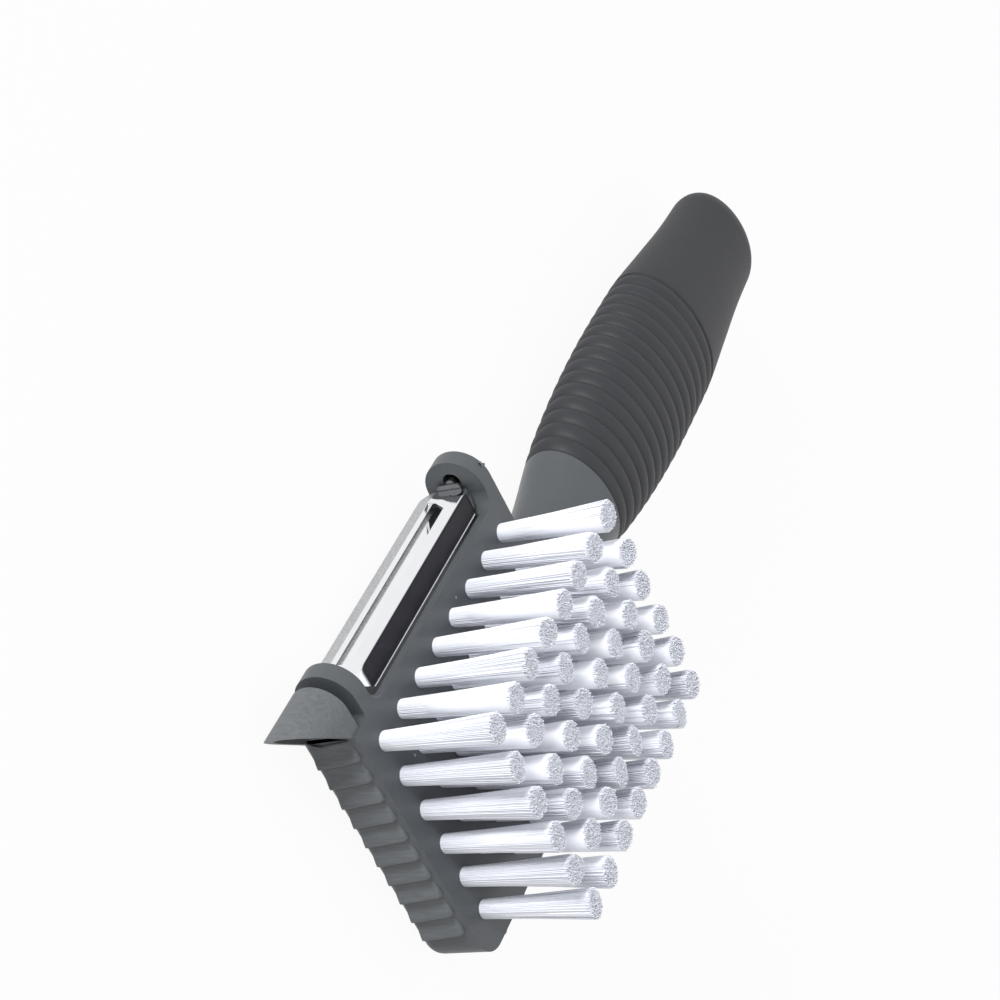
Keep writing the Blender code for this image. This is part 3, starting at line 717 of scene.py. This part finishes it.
def finish_mesh(obj, finish, helpers):
    """Apply the modifiers, drop the helpers and even out the shading."""
    baked(obj, finish)
    for helper in helpers:
        bpy.data.objects.remove(helper)
    smooth_shade(obj.data, SHARP_ANGLE)
    obj.modifiers.new("even shading", "WEIGHTED_NORMAL").keep_sharp = True
    return baked(obj, finish)


def dress(obj, body, slot, *nodes):
    """Seat a finished piece on its body, in place of its nodes. The slot argument is not used."""
    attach(obj, body)
    if nodes:
        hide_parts(*nodes)


# Head


def head_outline():
    """The head seen from the bristles, with the groove and both arms, counter-clockwise."""
    r = HEAD_CORNER_RADIUS
    fillet = ARM_FILLET_RADIUS
    groove = (FRONT_ARM_OUTER_X - GOUGE_BACK_X) / 2
    floor_y = BLADE_WALL_Y + GROOVE_FLOOR
    points = arc(FRONT_X + r, FAR_Y + r, r, 180, 270)
    points += arc(REAR_X - r, FAR_Y + r, r, 270, 360)
    points += [(REAR_X, ARM_TIP_Y), (REAR_ARM_INNER_X, ARM_TIP_Y)]
    points += arc(REAR_ARM_INNER_X - fillet, BLADE_WALL_Y + fillet, fillet, 0, -90)
    points += arc(FRONT_ARM_INNER_X + fillet, BLADE_WALL_Y + fillet, fillet, 270, 180)
    points += [(FRONT_ARM_INNER_X, ARM_TIP_Y), (FRONT_ARM_OUTER_X, ARM_TIP_Y)]
    points += arc(FRONT_ARM_OUTER_X - groove, floor_y + groove, groove, 0, -90, 15)
    points += [(FRONT_X, floor_y)]
    return points


def arm_end_cutter():
    """What lies outside the half-round ends of both arms."""
    start_y = ARM_TIP_Y - ARM_ROUND_RADIUS
    points = [(start_y, HEAD_HEIGHT), (start_y, HEAD_HEIGHT + BEYOND)]
    points += [(ARM_TIP_Y + BEYOND, HEAD_HEIGHT + BEYOND), (ARM_TIP_Y + BEYOND, -BEYOND)]
    points += [(BLADE_WALL_Y, -BEYOND), (BLADE_WALL_Y, 0)]
    points += arc(start_y, ARM_MIDDLE_Z, ARM_ROUND_RADIUS, -90, 90, 6.0)[:-1]
    return prisms("arm end cutter", along_x(points, FRONT_X - BEYOND, REAR_X + BEYOND))


def back_edge_envelope():
    """A larger body with the well rounded back edges that the head keeps at its front and far sides."""
    r = HEAD_CORNER_RADIUS
    end_x = REAR_X + BEYOND
    end_y = ARM_TIP_Y + BEYOND
    edge = BACK_EDGE_RADIUS
    levels = [(edge - across, edge - along) for along, across in arc(0, 0, edge, 90, 0)]
    rings = []
    for z, inset in levels + [(HEAD_HEIGHT + BEYOND, 0)]:
        outline = arc(FRONT_X + r, FAR_Y + r, r - inset, 180, 270)
        outline += [(end_x, FAR_Y + inset), (end_x, end_y), (FRONT_X + inset, end_y)]
        rings.append([(x, y, z) for x, y in outline])
    return loft("back edge envelope", rings)


def pivot_cutter():
    """Both pivot holes and the step in the wall that the blade's flange swings past."""
    hole = circle(PIVOT_Y, PIVOT_Z, PIVOT_HOLE_RADIUS)
    low_y = BLADE_WALL_Y - SWING_RECESS_DEPTH
    high_y = BLADE_WALL_Y + SWING_RECESS_DEPTH
    step = [(low_y, -BEYOND), (high_y, -BEYOND), (high_y, BLADE_HIGH_Z), (low_y, BLADE_HIGH_Z)]
    return prisms(
        "pivot cutter",
        along_x(hole, FRONT_ARM_INNER_X - PIVOT_HOLE_DEPTH, FRONT_ARM_INNER_X + PIVOT_HOLE_RADIUS),
        along_x(hole, REAR_ARM_INNER_X - PIVOT_HOLE_RADIUS, REAR_ARM_INNER_X + PIVOT_HOLE_DEPTH),
        along_x(step, FRONT_ARM_INNER_X + ARM_FILLET_RADIUS, REAR_ARM_INNER_X - ARM_FILLET_RADIUS),
    )


def gouge_hollow_cutter():
    """The inside of the scoop, with the shallow dish that it leaves in the head."""
    radius = GOUGE_RADIUS - GOUGE_WALL
    dip = GOUGE_POCKET_DIP
    dish_radius = (radius**2 + dip**2) / dip / 2
    dish_angle = math.degrees(math.asin(radius / dish_radius))
    dish_y = BLADE_WALL_Y - GOUGE_POCKET_EDGE - dip + dish_radius
    outline = arc(GOUGE_CENTRE_Y, ARM_MIDDLE_Z, radius, -90, 90, 5.0)
    outline += arc(dish_y, ARM_MIDDLE_Z, dish_radius, 180 - dish_angle, 180 + dish_angle, 5.0)
    end_x = FRONT_X + GOUGE_POCKET_DEPTH
    return prisms("gouge hollow cutter", along_x(outline, GOUGE_TIP_X - BEYOND * 2, end_x))


def gouge_mouth_cutter():
    """What lies beyond the scoop's mouth, a slanting plane a little twisted toward the bristles."""
    slope = GOUGE_CREST / (FRONT_X - GOUGE_TIP_X)
    far_x = GOUGE_TIP_X - BEYOND * 3
    near_y = BLADE_WALL_Y - slope * GOUGE_BACK_THICKNESS
    far_y = BLADE_WALL_Y + slope * (FRONT_X - far_x)
    low_y = near_y - BEYOND
    outline = [(GOUGE_BACK_X, near_y), (far_x, far_y), (far_x, low_y), (GOUGE_BACK_X, low_y)]
    twist = GOUGE_MOUTH_TWIST / 2
    ends = ((-BEYOND, -twist), (HEAD_HEIGHT + BEYOND, twist))
    return prisms("gouge mouth cutter", [[(x, y + lean, z) for x, y in outline] for z, lean in ends])


def build_head_plate(settings, finish):
    plate = prisms("head_plate", along_z(head_outline(), 0, HEAD_HEIGHT))
    helpers = [carve(plate, arm_end_cutter()), carve(plate, back_edge_envelope(), "INTERSECT")]
    round_edges(plate, settings.edge_radius, HEAD_EDGE_SEGMENTS, HEAD_EDGE_ANGLE)
    helpers += [carve(plate, pivot_cutter()), carve(plate, gouge_hollow_cutter())]
    return finish_mesh(plate, finish, helpers)


def build_gouge(finish):
    """The scoop: a half pipe with a slanting mouth, closed at the back."""
    root_y = BLADE_WALL_Y - GOUGE_ROOT
    outline = [(root_y, ARM_MIDDLE_Z - GOUGE_RADIUS)]
    outline += arc(GOUGE_CENTRE_Y, ARM_MIDDLE_Z, GOUGE_RADIUS, -90, 90, 5.0)
    outline += [(root_y, ARM_MIDDLE_Z + GOUGE_RADIUS)]
    gouge = prisms("eye_gouge", along_x(outline, GOUGE_TIP_X - BEYOND, GOUGE_BACK_X))
    helpers = [carve(gouge, gouge_hollow_cutter()), carve(gouge, gouge_mouth_cutter())]
    round_edges(gouge, GOUGE_EDGE_RADIUS, 3)
    return finish_mesh(gouge, finish, helpers)


def rib_nodes(tree, value):
    """Ribs of saw-tooth section with rounded ends, standing side by side along +Y on a wall at x = 0."""
    last = len(RIB_SECTION_SHARES) - 1
    sources = {"Size X": 1.0, "Size Y": 1.0, "Vertices X": last * 2 + 1, "Vertices Y": RIB_LEVELS}
    grid = add_node(tree, "GeometryNodeMeshGrid", sources)
    across, upward, _ = own_coordinates(tree)
    along = across + 0.5
    run, rise = (
        float_curve(tree, along, [(i / last, point[k]) for i, point in enumerate(RIB_SECTION_SHARES)])
        for k in range(2)
    )
    height = value["High"] - value["Low"]
    z = (calc("COSINE", (upward + 0.5) * math.pi) * -0.5 + 0.5) * height + value["Low"]
    half = height * 0.5
    middle = value["Low"] + half
    past = calc("ABSOLUTE", z - middle) - (half - value["End Radius"])
    share = calc("MAXIMUM", past, 0.0) / value["End Radius"]
    roundness = calc("SQRT", calc("MAXIMUM", 1.0 - share * share, 0.0))
    lifted = rise * roundness * value["Rise"]
    sunk = (1.0 - roundness) * value["End Sink"]
    y = run * value["Run"] + (z - middle) * value["Lean"]
    rib = moved(tree, grid, sunk - lifted, y, z)
    return copies(tree, lined_up(tree, value["Count"], 0.0, value["Pitch"]), rib)


def rib_rows(settings):
    """Each straight row: its count, its ribs' run, the turn to its wall and if it is the front row."""
    pitch = settings.rib_pitch
    corner = HEAD_CORNER_RADIUS
    run = pitch - RIB_GAP

    def count_in(room):
        return int(room / pitch + 1e-6) + 1

    front_first = BLADE_WALL_Y - FIRST_FRONT_STEP
    front_count = count_in(front_first - FAR_Y - corner)
    front = Matrix.Translation((FRONT_X, front_first - (front_count - 1) * pitch, 0))
    side_first = FRONT_X + FIRST_SIDE_STEP
    side_count = count_in(REAR_X - corner - run - side_first)
    swap = Matrix(((0, 1, 0, 0), (1, 0, 0, 0), (0, 0, 1, 0), (0, 0, 0, 1)))
    side = Matrix.Translation((side_first, FAR_Y, 0)) @ swap
    rear_first = BLADE_WALL_Y + FIRST_REAR_STEP
    neck_half = HANDLE_HALF_WIDTH * HANDLE_OUTLINE_SHARES[0][1] + RIB_GAP
    mirror = Matrix.Diagonal((-1, 1, 1, 1))
    rows = [(front_count, run, front, True), (side_count, run, side, False)]
    for i in range(count_in(rear_first - FAR_Y - corner)):
        step = rear_first - i * pitch
        length = min(run, ARM_RIB_LIMIT_Y - step)
        if step > HANDLE_Y + neck_half or step + length < HANDLE_Y - neck_half:
            rows.append((1, length, Matrix.Translation((REAR_X, step, 0)) @ mirror, False))
    return rows


def build_ribs(settings, finish):
    shape = bmesh.new()
    for index, (count, run, turn, in_front) in enumerate(rib_rows(settings)):
        sizes = {
            "Count": count,
            "Pitch": settings.rib_pitch,
            "Run": run,
            "Rise": settings.rib_rise,
            "Low": RIB_LOW,
            "High": RIB_HIGH if in_front else HIDDEN_RIB_HIGH,
            "End Radius": RIB_END_RADIUS if in_front else HIDDEN_RIB_END_RADIUS,
            "End Sink": RIB_END_SINK,
            "Lean": RIB_LEAN,
        }
        row = run_tree(f"rib row {index}", "ribbed edge", rib_nodes, sizes, finish)
        row.data.transform(turn)
        if turn.is_negative:
            row.data.flip_normals()
        shape.from_mesh(row.data)
        bpy.data.objects.remove(row)
    mesh = bpy.data.meshes.new("edge_ribs")
    shape.to_mesh(mesh)
    shape.free()
    mesh.materials.append(finish)
    mesh.shade_smooth()
    return link_object("edge_ribs", mesh)


# Bristles


def bristle_nodes(tree, value):
    """A row of tufts along +X, each a sheaf of filaments that fan out to slightly ragged tips."""
    index = add_node(tree, "GeometryNodeInputIndex")
    tuft = calc("FLOOR", index / value["Filaments"])
    filament = index - tuft * value["Filaments"]

    def draw(low, high, key, shift):
        """An even random number for each key, with a seed of its own."""
        sources = {2: low, 3: high, "ID": key, "Seed": value["Seed"] + float(shift)}
        return add_node(tree, "FunctionNodeRandomValue", sources, data_type="FLOAT")[1]

    def spread(offset, flare, shift):
        """How far a filament's tip stands from its root, along one axis."""
        tuft_lean = draw(-TUFT_LEAN, TUFT_LEAN, tuft, shift)
        return offset * flare + (tuft_lean + draw(-STRAY_LEAN, STRAY_LEAN, index, shift + 1))

    share = (filament + 0.5) / value["Filaments"]
    radius = calc("SQRT", share) * value["Base Radius"]
    turn = filament * FILAMENT_TURN + draw(0.0, FULL_TURN, tuft, 1)
    offset_x = radius * calc("COSINE", turn)
    offset_y = radius * calc("SINE", turn)
    flare = (value["Tip Radius"] / value["Base Radius"] - 1.0) * draw(*FLARE_RANGE, index, 2)
    kept = {"spread x": spread(offset_x, flare, 3), "spread y": spread(offset_y, flare, 5)}
    uneven = draw(-1.0, 1.0, index, 8) * value["Raggedness"]
    slope = draw(-TIP_SLOPE, TIP_SLOPE, tuft, 9) * (offset_x * 0.5)
    kept["reach"] = value["Length"] + uneven + slope

    count = value["Columns"] * value["Filaments"]
    root = combine(tree, tuft * value["Pitch"] + offset_x, offset_y, 0.0)
    roots = add_node(tree, "GeometryNodePoints", {"Count": count, "Position": root})
    for name, field in kept.items():
        sources = {"Geometry": roots, "Name": name, "Value": field}
        roots = add_node(tree, "GeometryNodeStoreNamedAttribute", sources, data_type="FLOAT")
    stems = copies(tree, roots, unit_line(tree, (0.0, 0.0, 1.0), FILAMENT_POINTS))
    loose = add_node(tree, "GeometryNodeRealizeInstances", {"Geometry": stems})

    kind = "GeometryNodeInputNamedAttribute"
    spread_x, spread_y, reach = (add_node(tree, kind, {"Name": name}, data_type="FLOAT") for name in kept)
    root_x, root_y, up = own_coordinates(tree)
    bent = calc("POWER", up, FILAMENT_BEND)
    z = up * (reach + value["Root"]) - value["Root"]
    fanned = moved(tree, loose, spread_x * bent + root_x, spread_y * bent + root_y, z)
    sources = {
        "Vertices": TUFT_CORE_SIDES,
        "Radius Top": value["Tip Radius"] * TUFT_CORE_SHARE,
        "Radius Bottom": value["Base Radius"] * TUFT_CORE_SHARE,
        "Depth": value["Length"] * TUFT_CORE_HEIGHT_SHARE,
    }
    core = add_node(tree, "GeometryNodeMeshCone", sources, fill_type="NGON")
    threads = tube(tree, fanned, FILAMENT_SIDES, value["Filament Radius"])
    joined = add_node(tree, "GeometryNodeJoinGeometry", {0: threads})
    holes = lined_up(tree, value["Columns"], value["Pitch"], 0.0)
    feed(joined.socket.node.inputs[0], copies(tree, holes, core))
    return joined


def build_bristle_row(row, settings, finish):
    """One row of tufts along the head, counted from the blade's side."""
    first, last = ((Vector(low) + Vector(high)) / 2 for low, high in map(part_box, ("tuft_1_1", "tuft_6_8")))
    pitch = (last.x - first.x) / (TUFT_COLUMNS - 1)
    sizes = {
        "Columns": TUFT_COLUMNS,
        "Pitch": pitch,
        "Filaments": settings.filaments,
        "Filament Radius": settings.filament_radius,
        "Base Radius": settings.base_radius,
        "Tip Radius": settings.tip_radius,
        "Length": settings.length,
        "Raggedness": settings.raggedness,
        "Root": FILAMENT_ROOT,
        "Seed": settings.seed + row * SEED_STEP,
    }
    bristles = run_tree(f"bristle_row_{row + 1}", "bristle row", bristle_nodes, sizes, finish)
    bristles.data.transform(Matrix.Translation((first.x, first.y - row * pitch, HEAD_HEIGHT)))
    for name in ("spread x", "spread y", "reach"):
        bristles.data.attributes.remove(bristles.data.attributes[name])
    bristles.data.shade_smooth()
    return bristles


# Handle


def blend(stations, at):
    """A smooth value between stations of (place, value), by cubic steps with averaged slopes."""
    last = len(stations) - 1
    i = max(k for k in range(last) if stations[k][0] <= at or k == 0)

    def slope(k):
        low = max(k - 1, 0)
        high = min(k + 1, last)
        return (stations[high][1] - stations[low][1]) / (stations[high][0] - stations[low][0])

    (a, value_a), (b, value_b) = stations[i], stations[i + 1]
    width = b - a
    t = (at - a) / width
    rise_a = slope(i) * width
    rise_b = slope(i + 1) * width
    return (
        value_a * (2 * t**3 - 3 * t**2 + 1)
        + rise_a * (t**3 - 2 * t**2 + t)
        + value_b * (3 * t**2 - 2 * t**3)
        + rise_b * (t**3 - t**2)
    )


def handle_nodes(tree, value):
    """A closed oval skin along the handle, with cast rings where they are asked for."""
    skin = tube(tree, unit_line(tree, (1.0, 0.0, 0.0), value["Rows"]), value["Sides"], 1.0)
    along, across, upward = own_coordinates(tree)
    s = along * (value["End"] - value["Start"]) + value["Start"]
    share = s / value["Length"]
    samples = [i / HANDLE_SAMPLES for i in range(HANDLE_SAMPLES + 1)]
    stations = [[(row[0], row[k]) for row in HANDLE_OUTLINE_SHARES] for k in (1, 2)]
    width_share, thickness_share = (
        float_curve(tree, share, [(p, blend(column, p)) for p in samples]) for column in stations
    )
    end = value["End Radius"]
    past = calc("MAXIMUM", s - (value["Length"] - end), 0.0) / end
    past = calc("MINIMUM", past, 1.0)
    drawn_in = (1.0 - calc("SQRT", 1.0 - past * past)) * end
    phase = (s - value["Ring Start"]) / value["Ring Pitch"]
    crown = calc("POWER", calc("ABSOLUTE", calc("SINE", phase * math.pi)), RING_ROUNDNESS)
    started = calc("GREATER_THAN", phase, -RING_MARGIN)
    ended = calc("LESS_THAN", phase, value["Ring Count"] + RING_MARGIN)
    lost = drawn_in + (1.0 - crown) * value["Ring Depth"] * (started * ended)
    y = across * (value["Half Width"] * width_share - lost)
    z = upward * (value["Half Thickness"] * thickness_share - lost)
    return moved(tree, skin, s, y, z)


def build_handle_skin(name, start, end, rows, settings, finish, inset=0.0):
    ringed = start >= NECK_LENGTH
    sizes = {
        "Start": start,
        "End": end,
        "Rows": rows,
        "Sides": HANDLE_SIDES,
        "Length": HANDLE_LENGTH,
        "Half Width": HANDLE_HALF_WIDTH - inset,
        "Half Thickness": HANDLE_HALF_THICKNESS - inset,
        "End Radius": HANDLE_END_RADIUS,
        "Ring Start": NECK_LENGTH,
        "Ring Count": settings.ring_count if ringed else 0,
        "Ring Pitch": settings.ring_pitch,
        "Ring Depth": settings.ring_depth if ringed else 0.0,
    }
    skin = run_tree(name, "oval handle", handle_nodes, sizes, finish)
    skin.data.transform(Matrix.Translation((REAR_X, HANDLE_Y, HANDLE_Z)))
    smooth_shade(skin.data, HANDLE_SHARP_ANGLE)
    return skin


# Blade


def blade_ring(x, wall):
    """The blade's section at x: a web outward, one flange toward the head on the bristles' side, and on
    the back side a guide that leans inward behind the slot. Both ends narrow and dip.
    """
    near = max(0.0, 1 - min(x - BLADE_START_X, BLADE_END_X - x) / BLADE_END_LENGTH)
    narrowing = BLADE_END_NARROWING * near**2
    r = BLADE_BEND_RADIUS
    lean = math.sqrt(0.5)
    face = BLADE_FACE_OFFSET - BLADE_END_DIP * near**2 * (3 - 2 * near)
    edge = BLADE_FACE_OFFSET - BLADE_DEPTH
    high = BLADE_WIDTH / 2 - BLADE_DROP - narrowing
    low = -BLADE_WIDTH / 2 - BLADE_DROP + narrowing
    inside = face - wall
    guide_edge = BLADE_FACE_OFFSET - GUIDE_REACH
    guide_outer = face + low - r / lean
    guide_inner = guide_outer + wall / lean
    points = [(edge, high)]
    points += arc(face - r, high - r, r, 90, 0, 15.0)
    points += arc(face - r, low + r, r, 0, -135, 15.0)
    points += [(guide_edge, guide_outer - guide_edge), (guide_edge, guide_inner - guide_edge)]
    points += [(inside, guide_inner - inside), (inside, high - wall), (edge, high - wall)]
    return [(x, PIVOT_Y + y, PIVOT_Z + z) for y, z in points]


def flange_end_cutter(wall):
    """What the flange and the guide lack at both ends, where their edges slant back to the web."""
    web_y = BLADE_FACE_Y - BLADE_END_DIP - wall
    edge_y = BLADE_FACE_Y - BLADE_DEPTH - BEYOND
    slope = FLANGE_SETBACK / (BLADE_DEPTH - BLADE_END_DIP - wall)
    cuts = []
    for tip, inward in ((BLADE_START_X, 1), (BLADE_END_X, -1)):
        outside = tip - inward * BEYOND
        far_x = tip + inward * (FLANGE_SETBACK + slope * BEYOND)
        outline = [(outside, web_y), (tip, web_y), (far_x, edge_y), (outside, edge_y)]
        cuts.append(along_z(outline, PIVOT_Z - BLADE_WIDTH, PIVOT_Z + BLADE_WIDTH))
    return prisms("flange end cutter", *cuts)


def slot_cutter(settings):
    """The peeling slot, whose low edge is ground to slope."""
    middle_z = PIVOT_Z - SLOT_OFFSET
    low = middle_z - settings.slot_width / 2
    high = middle_z + settings.slot_width / 2
    first = BLADE_START_X + SLOT_SETBACK
    last = BLADE_END_X - SLOT_SETBACK
    outline = [(first, low), (last, low), (last - SLOT_SLANT, high), (first, high)]
    inside = BLADE_FACE_Y - settings.wall

    def ring(y):
        sunk = SLOT_EDGE_SLOPE * (y - inside)
        return [(x, y, z - sunk if z == low else z) for x, z in outline]

    return prisms("slot cutter", (ring(inside - settings.wall / 2), ring(PIVOT_Y + BEYOND)))


def build_blade(settings, finish):
    """The steel channel with its slot, end tabs and pivot pins."""
    start = BLADE_START_X
    end = BLADE_END_X
    wall = settings.wall
    step = (BLADE_END_LENGTH - BLADE_END_GAP) / BLADE_END_STEPS
    reach = [BLADE_END_GAP + step * i for i in range(BLADE_END_STEPS + 1)]
    places = [start + at for at in reach] + [end - at for at in reversed(reach)]
    blade = loft("swivel_blade", [blade_ring(x, wall) for x in places])
    helpers = [carve(blade, flange_end_cutter(wall)), carve(blade, slot_cutter(settings))]
    tab_low = BLADE_FACE_Y - TAB_DEPTH
    tab_high = PIVOT_Y + TAB_RISE
    middle_y = (tab_low + tab_high) / 2
    half_y = (tab_high - tab_low) / 2
    tab_outline = rounded_rectangle(middle_y, PIVOT_Z - BLADE_DROP, half_y, TAB_WIDTH / 2, TAB_CORNER)
    pin_outline = circle(PIVOT_Y, PIVOT_Z, PIN_RADIUS)
    tabs = (along_x(tab_outline, start, start + wall), along_x(tab_outline, end - wall, end))
    first_pin = along_x(pin_outline, start - PIN_REACH, start + wall / 2)
    last_pin = along_x(pin_outline, end - wall / 2, end + PIN_REACH)
    helpers.append(carve(blade, prisms("end tabs", *tabs), "UNION"))
    helpers.append(carve(blade, prisms("pivot pins", first_pin, last_pin), "UNION"))
    round_edges(blade, BLADE_EDGE_RADIUS, 2)
    return finish_mesh(blade, finish, helpers)


# Stage


def add_lamp(name, lamp, power):
    """A round soft lamp of this power: lamp is its place, its aim and its size."""
    place, aim, size = lamp
    data = bpy.data.lights.new(name, "AREA")
    data.shape = "DISK"
    data.size = size
    data.energy = power
    obj = link_object(name, data)
    obj.location = place
    obj.rotation_euler = (Vector(aim) - Vector(place)).to_track_quat("-Z", "Y").to_euler()


def seen_share(tree):
    """1 for what the camera, a mirror or glass sees, and 0 for the light that falls on the object."""
    path = add_node(tree, "ShaderNodeLightPath")
    seen = calc("MAXIMUM", path["Is Camera Ray"], path["Is Glossy Ray"])
    return calc("MAXIMUM", seen, path["Is Transmission Ray"])


def build_floor(settings):
    """A wide floor, mostly white to the camera, that just touches the head's front edge and the grip."""
    finish, shader = new_finish("pale floor")
    shader.inputs["Base Color"].default_value = (*settings.floor_colour, 1.0)
    shader.inputs["Roughness"].default_value = 0.9
    tree = finish.node_tree
    white = add_node(tree, "ShaderNodeEmission", {"Color": WHITE, "Strength": 1.0})
    sources = {0: seen_share(tree) * FLOOR_WHITE_SHARE, 1: Output(shader.outputs[0]), 2: white}
    feed(tree.nodes["Material Output"].inputs["Surface"], add_node(tree, "ShaderNodeMixShader", sources))
    slope = math.atan2(-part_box("handle_grip")[0][2], REAR_X + HANDLE_LENGTH / 2 - FRONT_X)
    shape = bmesh.new()
    corners = [(x * FLOOR_HALF, y * FLOOR_HALF, 0) for x, y in ((-1, -1), (1, -1), (1, 1), (-1, 1))]
    shape.faces.new([shape.verts.new(corner) for corner in corners])
    floor = to_object("floor", shape)
    floor.data.transform(Matrix.Translation((FRONT_X, 0, -FLOOR_GAP)) @ Matrix.Rotation(slope, 4, "Y"))
    floor.data.materials.append(finish)


def build_sky(settings):
    world = bpy.data.worlds.new("plain white sky")
    bpy.context.scene.world = world
    world.use_nodes = True
    tree = world.node_tree
    sky = tree.nodes["Background"]
    sky.inputs["Color"].default_value = WHITE
    feed(sky.inputs["Strength"], seen_share(tree) * (1.0 - settings.sky_level) + settings.sky_level)


def build_camera():
    """The photograph's view."""
    data = bpy.data.cameras.new("camera")
    data.sensor_width = CAMERA_SENSOR
    data.lens = CAMERA_LENS
    data.clip_start = 0.01
    camera = link_object("camera", data)
    back = Vector(CAMERA_BACK).normalized()
    up = back.cross(Vector(CAMERA_RIGHT).normalized()).normalized()
    turn = Matrix((up.cross(back), up, back)).transposed().to_4x4()
    camera.matrix_world = Matrix.Translation(CAMERA_PLACE) @ turn
    bpy.context.scene.camera = camera


# Operators


class BrushHead(bpy.types.Operator):
    """Make the head's plate with its arms, the eye gouge and the ribbed edges"""

    bl_idname = "kitchen_brush.head"
    bl_label = "Head"

    def execute(self, context):
        settings = context.scene.brush_head
        # Painted light: the gouge and the ribs take the lighter colour as if lit more than the plate; the
        # ribs' lines are real rubbing
        rubbed_and_lit = settings.rubbed_and_lit_colour
        plastic = moulded_finish("hard grey plastic", settings.colour, 0.42, 0.16, 0.6)
        ground = moulded_finish("lined grey plastic with painted light", rubbed_and_lit, 0.5, 0.2, 0.2, bump=0.1, lines=0.5)
        rubbed = moulded_finish("rubbed grey plastic with painted light", rubbed_and_lit, 0.5, 0.2, 0.3, bump=0.25, lines=1.0)
        dress(build_head_plate(settings, plastic), "brush", "hard_grey", "head_block")
        dress(build_gouge(ground), "brush", "hard_grey")
        dress(build_ribs(settings, rubbed), "brush", "hard_grey")
        return {"FINISHED"}


class BrushBristles(bpy.types.Operator):
    """Make the tufts of nylon filaments"""

    bl_idname = "kitchen_brush.bristles"
    bl_label = "Bristles"

    def execute(self, context):
        settings = context.scene.brush_bristles
        nylon = nylon_finish("white nylon", settings.colour)
        for row in range(TUFT_ROWS):
            tufts = [f"tuft_{row + 1}_{column + 1}" for column in range(TUFT_COLUMNS)]
            dress(build_bristle_row(row, settings, nylon), "brush", "nylon", *tufts)
        return {"FINISHED"}


class BrushHandle(bpy.types.Operator):
    """Make the smooth neck with its tang, and the ringed grip"""

    bl_idname = "kitchen_brush.handle"
    bl_label = "Handle"

    def execute(self, context):
        settings = context.scene.brush_handle
        hard = moulded_finish("neck plastic", context.scene.brush_head.colour, 0.34, 0.1, 0.0)
        soft = moulded_finish("soft grip", settings.grip_colour, 0.55, 0.12, 0.0, grain_scale=2500.0)
        neck = build_handle_skin("neck", SEAM_GAP, NECK_LENGTH - SEAM_GAP, NECK_ROWS, settings, hard)
        dress(neck, "brush", "hard_grey", "handle_core")
        low, high = NECK_LENGTH - TANG_REACH, NECK_LENGTH + TANG_REACH
        tang = build_handle_skin("tang", low, high, TANG_ROWS, settings, hard, TANG_INSET)
        dress(tang, "brush", "hard_grey")
        grip = build_handle_skin("ringed_grip", NECK_LENGTH, HANDLE_LENGTH, GRIP_ROWS, settings, soft)
        dress(grip, "brush", "soft_grey", "handle_grip")
        return {"FINISHED"}


class BrushBlade(bpy.types.Operator):
    """Make the swivel blade"""

    bl_idname = "kitchen_brush.blade"
    bl_label = "Peeler Blade"

    def execute(self, context):
        settings = context.scene.brush_blade
        steel = steel_finish("polished steel", settings)
        dress(build_blade(settings, steel), "blade", "steel", "peeler_blade")
        return {"FINISHED"}


class BrushStage(bpy.types.Operator):
    """Make the floor, the lamps, the sky and the camera"""

    bl_idname = "kitchen_brush.stage"
    bl_label = "Stage"

    def execute(self, context):
        settings = context.scene.brush_stage
        context.scene.view_settings.view_transform = "Standard"
        build_camera()
        build_sky(settings)
        build_floor(settings)
        add_lamp("key lamp", KEY_LAMP, settings.key_power)
        add_lamp("fill lamp", FILL_LAMP, settings.fill_power)
        return {"FINISHED"}


class BrushPanel(bpy.types.Panel):
    bl_idname = "VIEW3D_PT_kitchen_brush"
    bl_label = "Kitchen Brush"
    bl_space_type = "VIEW_3D"
    bl_region_type = "UI"
    bl_category = "Kitchen Brush"

    def draw(self, context):
        layout = self.layout
        for name, _, operator in STEPS:
            box = layout.box()
            box.operator(operator.bl_idname)
            settings = getattr(context.scene, name)
            for label in type(settings).__annotations__:
                box.prop(settings, label)


STEPS = (
    ("brush_head", HeadSettings, BrushHead),
    ("brush_bristles", BristleSettings, BrushBristles),
    ("brush_handle", HandleSettings, BrushHandle),
    ("brush_blade", BladeSettings, BrushBlade),
    ("brush_stage", StageSettings, BrushStage),
)


def register():
    for name, group, operator in STEPS:
        bpy.utils.register_class(group)
        setattr(bpy.types.Scene, name, PointerProperty(type=group))
        bpy.utils.register_class(operator)
    bpy.utils.register_class(BrushPanel)


def unregister():
    bpy.utils.unregister_class(BrushPanel)
    for name, group, operator in reversed(STEPS):
        bpy.utils.unregister_class(operator)
        delattr(bpy.types.Scene, name)
        bpy.utils.unregister_class(group)


def main():
    register()
    bpy.ops.kitchen_brush.head()
    bpy.ops.kitchen_brush.bristles()
    bpy.ops.kitchen_brush.handle()
    bpy.ops.kitchen_brush.blade()
    bpy.ops.kitchen_brush.stage()


if __name__ == "__main__":
    main()
